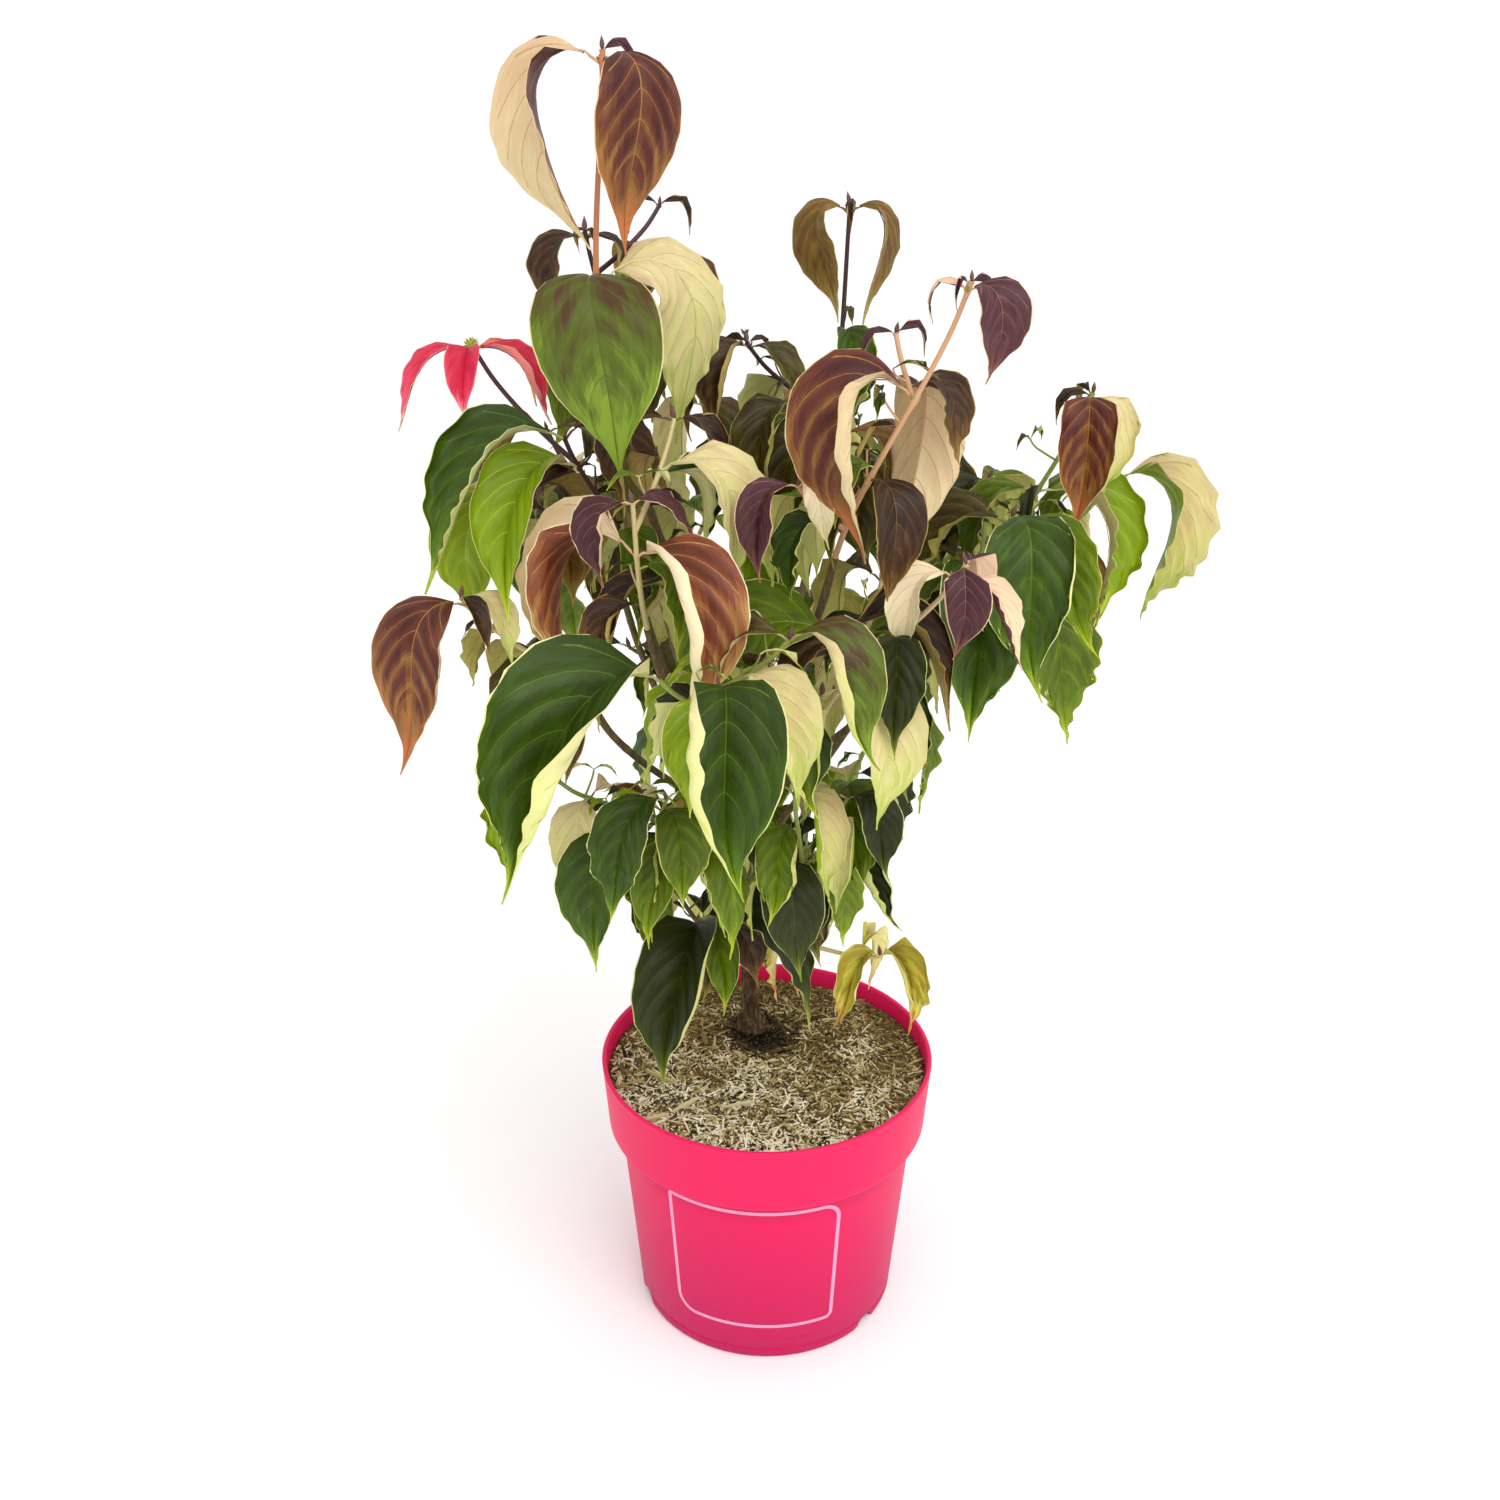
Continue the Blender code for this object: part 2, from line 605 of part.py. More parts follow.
def grow():
    """Every limb, shoot and leaf of the shrub, mass by mass."""
    crown = Crown()
    crown.claim("trunk", tube(*trunk_path(), LIMB_SIDES))
    plan = {}
    for name, bough in BOUGHS.items():
        points, radii = bough_path(bough)
        crown.claim("bough_" + name, tube(points[1:], radii[1:], LIMB_SIDES))
        plan[name] = {"bough": (points, radii), "shoots": [], "leaves": []}
    for name, bough in BOUGHS.items():
        stem, heading = stem_path(plan[name]["bough"][0], bough.shoots[0])
        for i, shoot in enumerate(bough.shoots):
            path = stem if i == 0 else shoot_path(stem, shoot)
            lead = heading if i == 0 else None
            radii = shoot_radii(path, STEM_RADIUS if i == 0 else SHOOT_RADIUS)
            own = (name, "bough_" + name) if i == 0 else (name,)
            if not crown.clear(tube(path, [r + GUARD for r in radii], TWIG_SIDES, lead), own):
                continue
            solid = tube(path, radii, TWIG_SIDES, lead)
            crown.claim(name, solid)
            plan[name]["shoots"].append((shoot, path, solid))
            for bract in bloom(path[-1]) if shoot.flower else ():
                crown.claim(name, bract.solid())
                plan[name]["leaves"].append(bract)
    for stage in ("near", "far", "fill"):
        for name in plan:
            for number, (shoot, path, _) in enumerate(plan[name]["shoots"]):
                for count, (pair, bearing) in enumerate(leaf_seats(shoot, path, stage)):
                    root = along(path, min(pair.at, TOP_NODE)) + compass(bearing) * ROOT_OFFSET
                    seat = f"{stage} {number} {count}"
                    leaf = crown.place_leaf(name, seat, root, bearing, pair, shoot.hang)
                    if leaf:
                        plan[name]["leaves"].append(leaf)
    return plan


def leaf_seats(shoot, path, stage):
    """Pairs and bearings of one stage: the near leaves first, then the rest."""
    if stage == "near":
        return [(pair, pair.near) for pair in shoot.pairs]
    if stage == "far":
        return [(pair, pair.far) for pair in shoot.pairs if pair.far is not None]
    return [(pair, bearing) for pair in fill_pairs(shoot, path) for bearing in (pair.near, pair.far)]


def fill_pairs(shoot, path):
    """Leaf pairs lower on a shoot, each a quarter turn from the one above it."""
    if not shoot.fill or not shoot.pairs:
        return ()
    length = sum((b - a).length for a, b in zip(path, path[1:]))
    lowest = min(shoot.pairs, key=lambda pair: pair.at)
    pairs = []
    at, turn = lowest.at, lowest.near
    while True:
        at -= PAIR_STEP / length
        turn += 90
        if at < FILL_FROM:
            return tuple(pairs)
        pairs.append(Pair(at, turn, turn + 180, FILL_LEAF))


def clear_scene():
    """Remove what the scene holds."""
    for thing in list(bpy.data.objects):
        bpy.data.objects.remove(thing, do_unlink=True)


def collection(name):
    """A collection linked to the scene."""
    group = bpy.data.collections.new(name)
    bpy.context.scene.collection.children.link(group)
    return group


def finish_material(name, colour, roughness):
    """A plain Principled finish."""
    material = bpy.data.materials.new(name)
    material.use_nodes = True
    shader = material.node_tree.nodes["Principled BSDF"]
    shader.inputs["Base Color"].default_value = (*colour, 1.0)
    shader.inputs["Roughness"].default_value = roughness
    shader.inputs["Metallic"].default_value = 0.0
    return material


def solid_object(name, solid, group):
    """An object from vertices in mm and faces."""
    verts, faces = solid
    mesh = bpy.data.meshes.new(name)
    mesh.from_pydata([v * MM for v in verts], [], faces)
    thing = bpy.data.objects.new(name, mesh)
    group.objects.link(thing)
    return thing


def turned(name, profile, group, steps):
    """A solid of revolution from a profile in mm, run down its outer side."""
    mesh = bpy.data.meshes.new(name)
    verts = [(radius * MM, 0.0, height * MM) for radius, height in profile]
    mesh.from_pydata(verts, [(i, i + 1) for i in range(len(verts) - 1)], [])
    thing = bpy.data.objects.new(name, mesh)
    group.objects.link(thing)
    screw = thing.modifiers.new("turn", "SCREW")
    screw.steps = screw.render_steps = steps
    screw.use_merge_vertices = True
    screw.merge_threshold = 0.00005
    screw.use_normal_calculate = False
    return thing


def make_pot(group, cutters):
    """The pot: a tapered body, a deep collar, and drain notches at its foot."""
    collar_foot = POT_HEIGHT - COLLAR_HEIGHT
    inner_step = collar_foot + WALL
    body_slope = (BODY_TOP_RADIUS - BASE_RADIUS) / collar_foot
    inner_base = BASE_RADIUS + body_slope * FLOOR - WALL
    profile = [
        (0.0, FLOOR), (inner_base, FLOOR), (BODY_TOP_RADIUS - WALL, inner_step),
        (COLLAR_FOOT_RADIUS - WALL, inner_step + WALL), (RIM_RADIUS - WALL - LIP, POT_HEIGHT - LIP),
        (RIM_RADIUS - WALL, POT_HEIGHT), (RIM_RADIUS - LIP_ROUNDING, POT_HEIGHT),
        (RIM_RADIUS, POT_HEIGHT - LIP), (COLLAR_FOOT_RADIUS, collar_foot + LIP),
        (COLLAR_FOOT_RADIUS - LIP, collar_foot),
        (BODY_TOP_RADIUS, collar_foot), (BASE_RADIUS + body_slope * FOOT_ROUNDING, FOOT_ROUNDING),
        (BASE_RADIUS - FOOT_ROUNDING, 0.0), (0.0, 0.0)]
    pot = turned("pot", profile, group, POT_STEPS)
    for i, bearing in enumerate(NOTCH_BEARINGS):
        bpy.ops.mesh.primitive_cube_add(size=1.0)
        notch = bpy.context.object
        notch.name = f"notch_{i}"
        notch.scale = [size * MM for size in NOTCH_SIZE]
        notch.location = compass(bearing) * (BASE_RADIUS + LIP) * MM
        notch.rotation_euler.z = math.radians(bearing)
        for old in list(notch.users_collection):
            old.objects.unlink(notch)
        cutters.objects.link(notch)
        notch.hide_render = True
        notch.display_type = "WIRE"
        cut = pot.modifiers.new(f"notch_{i}", "BOOLEAN")
        cut.operation = "DIFFERENCE"
        cut.object = notch
    pot.data.materials.append(finish_material("pink_plastic", POT_COLOUR, 0.45))
    pot.data.shade_smooth()
    pot.data.set_sharp_from_angle(angle=math.radians(30))


def make_soil(group):
    """The growing medium: it fills the pot, a gap clear of its wall and floor."""
    collar_foot = POT_HEIGHT - COLLAR_HEIGHT
    body_slope = (BODY_TOP_RADIUS - BASE_RADIUS) / collar_foot
    step = collar_foot + 2 * WALL
    slope = (RIM_RADIUS - LIP - COLLAR_FOOT_RADIUS) / (POT_HEIGHT - LIP - step)
    clear = 3 * GAP
    edge = COLLAR_FOOT_RADIUS - WALL + slope * (SOIL_LEVEL - SOIL_DROP - step) - clear
    profile = [
        (0.0, SOIL_LEVEL), (SOIL_SHOULDER, SOIL_LEVEL), (edge, SOIL_LEVEL - SOIL_DROP),
        (COLLAR_FOOT_RADIUS - WALL - clear, step + clear),
        (BODY_TOP_RADIUS - WALL - clear, collar_foot + WALL + clear),
        (BASE_RADIUS + body_slope * FLOOR - WALL - clear, FLOOR + GAP), (0.0, FLOOR + GAP)]
    soil = turned("growing_medium", profile, group, POT_STEPS)
    soil.data.materials.append(finish_material("wood_fibre", SOIL_COLOUR, 0.9))


def make_limb(name, points, radii, group, material):
    """A tapering limb: a curve with a bevel, made a mesh with welded caps."""
    curve = bpy.data.curves.new(name + "_line", "CURVE")
    curve.dimensions = "3D"
    curve.bevel_depth = MM
    curve.bevel_resolution = 1
    curve.use_fill_caps = True
    spline = curve.splines.new("POLY")
    spline.points.add(len(points) - 1)
    for knot, point, radius in zip(spline.points, points, radii):
        knot.co = (*(point * MM), 1.0)
        knot.radius = radius
    line = bpy.data.objects.new(name + "_line", curve)
    group.objects.link(line)
    bpy.context.view_layer.update()
    ready = line.evaluated_get(bpy.context.evaluated_depsgraph_get())
    mesh = bpy.data.meshes.new_from_object(ready)
    mesh.name = name
    limb = bpy.data.objects.new(name, mesh)
    limb.matrix_world = line.matrix_world
    group.objects.link(limb)
    bpy.data.objects.remove(line, do_unlink=True)
    weld(mesh, 0.00001)
    mesh.materials.clear()
    mesh.materials.append(material)
    mesh.shade_smooth()
    mesh.set_sharp_from_angle(angle=math.radians(50))
    return limb


def weld(mesh, distance):
    """Merge close vertices, drop flat faces and turn the faces outward."""
    work = bmesh.new()
    work.from_mesh(mesh)
    bmesh.ops.remove_doubles(work, verts=work.verts, dist=distance)
    bmesh.ops.dissolve_degenerate(work, dist=distance / 10, edges=work.edges)
    bmesh.ops.recalc_face_normals(work, faces=work.faces)
    work.to_mesh(mesh)
    work.free()


def cut_by(limb, cutter):
    """Cut a limb where the cutter takes its space."""
    cut = limb.modifiers.new("saddle", "BOOLEAN")
    cut.operation = "DIFFERENCE"
    cut.object = cutter


def evaluated_mesh(thing):
    """A new mesh of an object with its modifiers."""
    bpy.context.view_layer.update()
    ready = thing.evaluated_get(bpy.context.evaluated_depsgraph_get())
    return bpy.data.meshes.new_from_object(ready)


def take_mesh(thing, mesh):
    """Make a mesh an object's own, in place of its old one and its modifiers."""
    mesh.name = thing.name
    thing.modifiers.clear()
    thing.data = mesh


def has_open_edges(mesh):
    """True when an edge of the mesh doesn't lie between exactly two faces."""
    work = bmesh.new()
    work.from_mesh(mesh)
    found = any(len(edge.link_faces) != 2 for edge in work.edges)
    work.free()
    return found


def keep_largest(mesh):
    """Keep the largest of the bodies whose faces share edges, and drop the rest."""
    work = bmesh.new()
    work.from_mesh(mesh)
    bmesh.ops.remove_doubles(work, verts=work.verts, dist=1e-6)
    seen = set()
    bodies = []
    for first in work.faces:
        if first in seen:
            continue
        seen.add(first)
        body, waiting = [], [first]
        while waiting:
            face = waiting.pop()
            body.append(face)
            for edge in face.edges:
                for other in edge.link_faces:
                    if other not in seen:
                        seen.add(other)
                        waiting.append(other)
        bodies.append(body)
    bodies.sort(key=len)
    scraps = [face for body in bodies[:-1] for face in body]
    bmesh.ops.delete(work, geom=scraps, context="FACES")
    work.to_mesh(mesh)
    work.free()


def bloom(tip):
    """A hanging bloom: four pointed bracts and the small head between them."""
    bracts = []
    for bearing, length in BRACTS:
        root = tip + compass(bearing) * ROOT_OFFSET - UP * BRACT_DROP
        bracts.append(Leaf(
            root, bearing, length, BRACT_ASPECT, BRACT_RISE, BRACT_HANG, BRACT_GIVE, BRACT_CURL,
            sway=0.0, lean=0.0, roll=0.0))
    return bracts


def bloom_head(tip):
    """The bloom's head, a small knob on the shoot's tip."""
    return tube([tip - UP * HEAD_HALF, tip, tip + UP * HEAD_HALF], HEAD_RADII, HEAD_SIDES)


def make_mass(name, grown, group, colour):
    """One mass of foliage: its stem, shoots and leaves fused to one solid."""
    parts = collection(name + "_pieces")
    solids = [solid for _, _, solid in grown["shoots"]]
    solids += [leaf.solid() for leaf in grown["leaves"]]
    solids += [bloom_head(path[-1]) for shoot, path, _ in grown["shoots"] if shoot.flower]
    mass = solid_object("foliage_" + name, solids[0], group)
    for i, solid in enumerate(solids[1:]):
        solid_object(f"{name}_piece_{i}", solid, parts)
    fuse = mass.modifiers.new("fuse", "BOOLEAN")
    fuse.operation = "UNION"
    fuse.operand_type = "COLLECTION"
    fuse.collection = parts
    for solver in ("EXACT", "MANIFOLD"):
        fuse.solver = solver
        mesh = evaluated_mesh(mass)
        keep_largest(mesh)
        if not has_open_edges(mesh):
            break
    take_mesh(mass, mesh)
    for thing in list(parts.objects):
        bpy.data.objects.remove(thing, do_unlink=True)
    bpy.data.collections.remove(parts)
    mass.data.materials.clear()
    mass.data.materials.append(finish_material(name + "_leaves", colour, 0.5))


def main():
    """Build the potted shrub."""
    clear_scene()
    group = collection("potted_kousa_dogwood")
    cutters = collection("cutters")
    make_pot(group, cutters)
    make_soil(group)
    bark = finish_material("bark", LIMB_COLOUR, 0.8)
    make_limb("trunk", *trunk_path(), group, bark)
    swollen = make_limb("trunk_clearance", *trunk_path(GAP), cutters, bark)
    swollen.hide_render = True
    swollen.display_type = "WIRE"
    plan = grow()
    for name, grown in plan.items():
        limb = make_limb("bough_" + name, *grown["bough"], group, bark)
        if BOUGHS[name].height < TRUNK_TOP[2]:
            cut_by(limb, swollen)
            take_mesh(limb, evaluated_mesh(limb))
            keep_largest(limb.data)
        make_mass(name, grown, group, BOUGHS[name].colour)


main()
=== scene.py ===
"""The looks of a potted kousa dogwood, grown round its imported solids.

The shrub grows here by the same seeded rule as its solids, so every limb, shoot
and leaf stands where its solid stands, and each is then drawn finely: bark with
relief, stalked leaves with arched veins and waved margins, buds, fine side
twigs and one hanging bloom. Sizes are in millimetres and bearings in degrees,
and the meshes are in metres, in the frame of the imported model.
"""

import logging
import math
import random
from dataclasses import dataclass, field, replace
from enum import Enum
from typing import Callable, Sequence

import bpy
import numpy as np
from mathutils import Matrix, Vector, noise
from mathutils.bvhtree import BVHTree


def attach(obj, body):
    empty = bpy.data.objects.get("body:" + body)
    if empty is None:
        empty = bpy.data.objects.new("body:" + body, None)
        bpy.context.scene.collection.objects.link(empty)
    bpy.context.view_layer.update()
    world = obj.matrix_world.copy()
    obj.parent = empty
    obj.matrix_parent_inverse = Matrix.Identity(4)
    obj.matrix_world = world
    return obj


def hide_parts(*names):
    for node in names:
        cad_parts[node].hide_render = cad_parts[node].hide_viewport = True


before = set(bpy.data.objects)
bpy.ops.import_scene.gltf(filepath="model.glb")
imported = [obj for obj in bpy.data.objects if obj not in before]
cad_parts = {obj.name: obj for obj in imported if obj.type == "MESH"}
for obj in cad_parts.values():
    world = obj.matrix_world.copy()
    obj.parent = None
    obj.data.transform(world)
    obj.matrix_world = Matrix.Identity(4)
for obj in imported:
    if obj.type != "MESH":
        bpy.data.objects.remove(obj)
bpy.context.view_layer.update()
LOG = logging.getLogger("potted_shrub")

MM = 0.001
GAP = 0.3
SEED = 11
TURN = 2 * math.pi
UP = Vector((0.0, 0.0, 1.0))
BODY = "root"

Array = np.ndarray
Path = Sequence[Vector]
Limb = tuple[list[Vector], list[float]]
Solid = tuple[list[Vector], list[tuple[int, ...]]]
Span = tuple[float, float]
Spot = tuple[float, float, float]
Tree, Node = bpy.types.NodeTree, bpy.types.Node
Rows = dict[str, tuple[str, dict]]
SHADER, LIGHT = READY = ("Principled BSDF", "Background")


def seeded(*words: object) -> random.Random:
    """The stream of draws that belongs to a purpose and a place."""
    return random.Random(" ".join(str(word) for word in (SEED, *words)))


def linear(colour: str) -> tuple[float, ...]:
    """Turn an sRGB hex colour to linear red, green and blue, with an alpha of one."""
    parts = [int(colour[i:i + 2], 16) / 255 for i in (1, 3, 5)]
    return (*(c / 12.92 if c <= 0.04045 else ((c + 0.055) / 1.055) ** 2.4 for c in parts), 1.0)


def add_node(tree: Tree, made: dict[str, Node], kind: str, values: dict) -> Node:
    """Add one shader node to a tree, or set one that it starts with.

    Args:
        tree: The tree that takes the node.
        made: Its nodes so far, by the names that the values may give.
        kind: The node's type in Blender, or the name of a ready one.
        values: By an attribute's name or an input's name or number. The name of an
            earlier node links its first output, or the one numbered after a dot.

    Returns:
        The node.
    """
    node = tree.nodes[kind] if kind in READY else tree.nodes.new("ShaderNode" + kind)
    if kind.startswith("Tex") and kind != "TexCoord":
        values = {"Vector": "where.3", **values}
    for name, value in values.items():
        source, _, output = value.partition(".") if isinstance(value, str) else ("", "", "")
        if source in made:
            tree.links.new(made[source].outputs[int(output or 0)], node.inputs[name])
        elif isinstance(name, str) and hasattr(node, name):
            setattr(node, name, value)
        else:
            node.inputs[name].default_value = value
    return node


def dress(thing: bpy.types.Material | bpy.types.World, rows: Rows) -> None:
    """Give a material or the world its nodes.

    Args:
        thing: What is dressed.
        rows: The nodes in order, by name, each with its type and its values.
    """
    thing.use_nodes = True
    made = {"where": add_node(thing.node_tree, {}, "TexCoord", {})}
    for name, (kind, values) in rows.items():
        made[name] = add_node(thing.node_tree, made, kind, values)


def compass(bearing: float) -> Vector:
    """A level unit vector, with 0 degrees at +X and 90 at +Y."""
    angle = math.radians(bearing)
    return Vector((math.cos(angle), math.sin(angle), 0.0))


def bezier(a: Vector, b: Vector, c: Vector, d: Vector, steps: int) -> list[Vector]:
    """Points in even steps along a cubic curve from a to d, with b and c as its handles."""
    return [a * u ** 3 + b * (3 * u * u * t) + c * (3 * u * t * t) + d * t ** 3
            for t, u in ((i / steps, 1 - i / steps) for i in range(steps + 1))]


def along(points: Path, share: float) -> Vector:
    """The point at a share of a path, from 0 at its start to 1 at its end."""
    i = min(int(place := max(0.0, min(share, 1.0)) * (len(points) - 1)), len(points) - 2)
    return points[i].lerp(points[i + 1], place - i)


def taper(points: Path, base: float, tip: float) -> list[float]:
    """Radii down a path, from its base to its tip."""
    return [base + (tip - base) * i / (len(points) - 1) for i in range(len(points))]


def smoothstep(low: float | Array, high: float, value: Array) -> Array:
    """An even rise from 0 at low to 1 at high."""
    t = np.clip((value - low) / (high - low), 0.0, 1.0)
    return t * t * (3 - 2 * t)


def unit(rows: Array) -> Array:
    """The same vectors at a length of one."""
    return rows / np.maximum(np.linalg.norm(rows, axis=-1, keepdims=True), 1e-9)


def spline(values: Array, places: Array) -> Array:
    """Read a row of points as a smooth curve.

    Args:
        values: The points, one a row.
        places: Where to read, in steps from the first point.

    Returns:
        A point for each place, on a curve through all the points.
    """
    last = len(values) - 1
    i = np.clip(np.floor(places).astype(int), 0, last - 1)
    t = (places - i)[..., None]
    a, b = values[np.maximum(i - 1, 0)], values[i]
    c, d = values[i + 1], values[np.minimum(i + 2, last)]
    return 0.5 * (2 * b + (c - a) * t + (2 * a - 5 * b + 4 * c - d) * t ** 2
                  + (3 * b - a - 3 * c + d) * t ** 3)


def box(verts: Path) -> tuple[list[float], list[float]]:
    """The low and the high corner of the box round some points."""
    columns = list(zip(*verts))
    return [min(c) for c in columns], [max(c) for c in columns]


def loft(rings: Sequence[Path], tip: Vector | None = None) -> Solid:
    """Join rings of points into a closed solid, parting each quad by its outer diagonal.

    Args:
        rings: The rings, each with as many points.
        tip: The point that the last ring closes on, or None where it is flat.

    Returns:
        The vertices and faces.
    """
    sides = len(rings[0])
    verts = [point for ring in rings for point in ring]
    faces: list[tuple[int, ...]] = []
    last = len(verts) - sides
    for base in range(0, last, sides):
        for k in range(sides):
            i, j = base + k, base + (k + 1) % sides
            m, n = j + sides, i + sides
            a, b, c, d = verts[i], verts[j], verts[m], verts[n]
            outward = (c - a).cross(d - b)
            faces += ([(i, j, m), (i, m, n)] if (a + c - b - d).dot(outward) > 0
                      else [(i, j, n), (j, m, n)])
    faces.append(tuple(range(sides - 1, -1, -1)))
    if tip is None:
        faces.append(tuple(range(last, last + sides)))
    else:
        verts.append(tip)
        faces += [(last + k, last + (k + 1) % sides, last + sides) for k in range(sides)]
    return verts, faces


def tube(points: Path, radii: Sequence[float], sides: int, lead: Vector | None = None) -> Solid:
    """The plain tube that stands for a limb while the shrub grows.

    Args:
        points: Its path.
        radii: Its radius at each point.
        sides: How many sides it has.
        lead: The direction that its first ring is square to.

    Returns:
        Its vertices and faces.
    """
    rings = []
    side = (lead or points[1] - points[0]).orthogonal().normalized()
    for i, point in enumerate(points):
        head = (points[min(i + 1, len(points) - 1)] - points[max(i - 1, 0)]).normalized()
        if i == 0 and lead:
            head = lead
        side = (side - head * side.dot(head)).normalized()
        other = head.cross(side)
        rings.append([point + (side * math.cos(a) + other * math.sin(a)) * radii[i]
                      for a in (TURN * k / sides for k in range(sides))])
    return loft(rings)


@dataclass(frozen=True)
class Finish:
    """A finish, known by its material's name; each kind tells the nodes of its surface."""
    name: str

    def nodes(self) -> Rows:
        """The surface's nodes, the shader last; coordinates are in metres."""
        raise NotImplementedError

    def material(self) -> bpy.types.Material:
        """Make the finish's material, or find the one already made.

        Returns:
            The material.
        """
        made = bpy.data.materials.get(self.name)
        if made is None:
            made = bpy.data.materials.new(self.name)
            dress(made, self.nodes())
        return made


class Grain(Enum):
    """The fine relief that a plant's finish may have, by its cells or specks a metre."""
    BLADE, RIND, FIBRE = 620.0, 900.0, 1500.0


@dataclass(frozen=True)
class PlainFinish(Finish):
    """A finish of one base colour, with its relief and gloss from nodes.

    Colours that have a place, such as autumn tints, are dealt out face by face
    among these, so each keeps to a single base colour.
    """
    colour: str
    roughness: float = 0.5
    specular: float = 0.24
    grain: Grain = Grain.BLADE

    def nodes(self) -> Rows:
        """One colour, a patchy gloss and the grain's relief.

        Returns:
            The nodes by name.
        """
        rows = {"patch": ("TexNoise", {"Scale": 90.0, "Detail": 3.0}),
                "gloss": ("MapRange", {"To Min": self.roughness - 0.1, "Value": "patch",
                                       "To Max": self.roughness + 0.14})}
        if self.grain is Grain.BLADE:
            # The net of the finest veins, about 1.6 mm a cell, barely felt
            rows["net"] = ("TexVoronoi", {"feature": "DISTANCE_TO_EDGE", "Scale": self.grain.value})
            rows["high"] = ("MapRange", {"From Max": 0.35, "Value": "net"})
            deep = {"Strength": 0.35, "Distance": 0.00012}
        else:
            rows["high"] = ("TexNoise", {"Scale": self.grain.value, "Detail": 4.0})
            deep = {"Strength": 0.5, "Distance": 0.0002}
        return {**rows, "bump": ("Bump", {**deep, "Height": "high"}), "shader": (SHADER, {
            "Base Color": linear(self.colour), "Specular IOR Level": self.specular,
            "Roughness": "gloss", "Normal": "bump"})}


@dataclass(frozen=True)
class BarkFinish(Finish):
    """Bark: a corky rind over wood, brown and flaking with age, smooth while young.

    It gives the eye a dull surface of upright streaks, paler where it has worn.
    """
    dark: str
    mid: str
    pale: str
    streak: float
    roughness: float

    def nodes(self) -> Rows:
        """Streaks about 1.5 mm wide and a few times as tall, in three tones.

        Returns:
            The nodes by name.
        """
        return {
            "drawn": ("Mapping", {"Scale": (1.0, 1.0, self.streak), "Vector": "where.3"}),
            "flakes": ("TexNoise", {"Scale": 420.0, "Detail": 6.0, "Roughness": 0.65,
                                    "Vector": "drawn"}),
            "patches": ("TexNoise", {"Scale": 60.0, "Detail": 3.0}),
            "lit": ("MapRange", {"From Min": 0.38, "From Max": 0.64, "Value": "flakes"}),
            "low": ("MapRange", {"From Max": 0.12 / 0.26, "Value": "lit"}),
            "high": ("MapRange", {"From Min": 0.12 / 0.26, "Value": "lit"}),
            "first": ("Mix", {"data_type": "RGBA", 0: "low", 6: linear(self.dark),
                              7: linear(self.mid)}),
            "tone": ("Mix", {"data_type": "RGBA", 0: "high", 6: "first.2", 7: linear(self.pale)}),
            "worn": ("Mix", {"data_type": "RGBA", 0: "patches", 6: "tone.2", 7: linear(self.mid)}),
            "rough": ("MapRange", {"To Min": self.roughness - 0.15, "Value": "flakes",
                                   "To Max": self.roughness + 0.1}),
            "bump": ("Bump", {"Strength": 0.6, "Distance": 0.0004, "Height": "flakes"}),
            "shader": (SHADER, {"Specular IOR Level": 0.25, "Base Color": "worn.2",
                                "Roughness": "rough", "Normal": "bump"})}


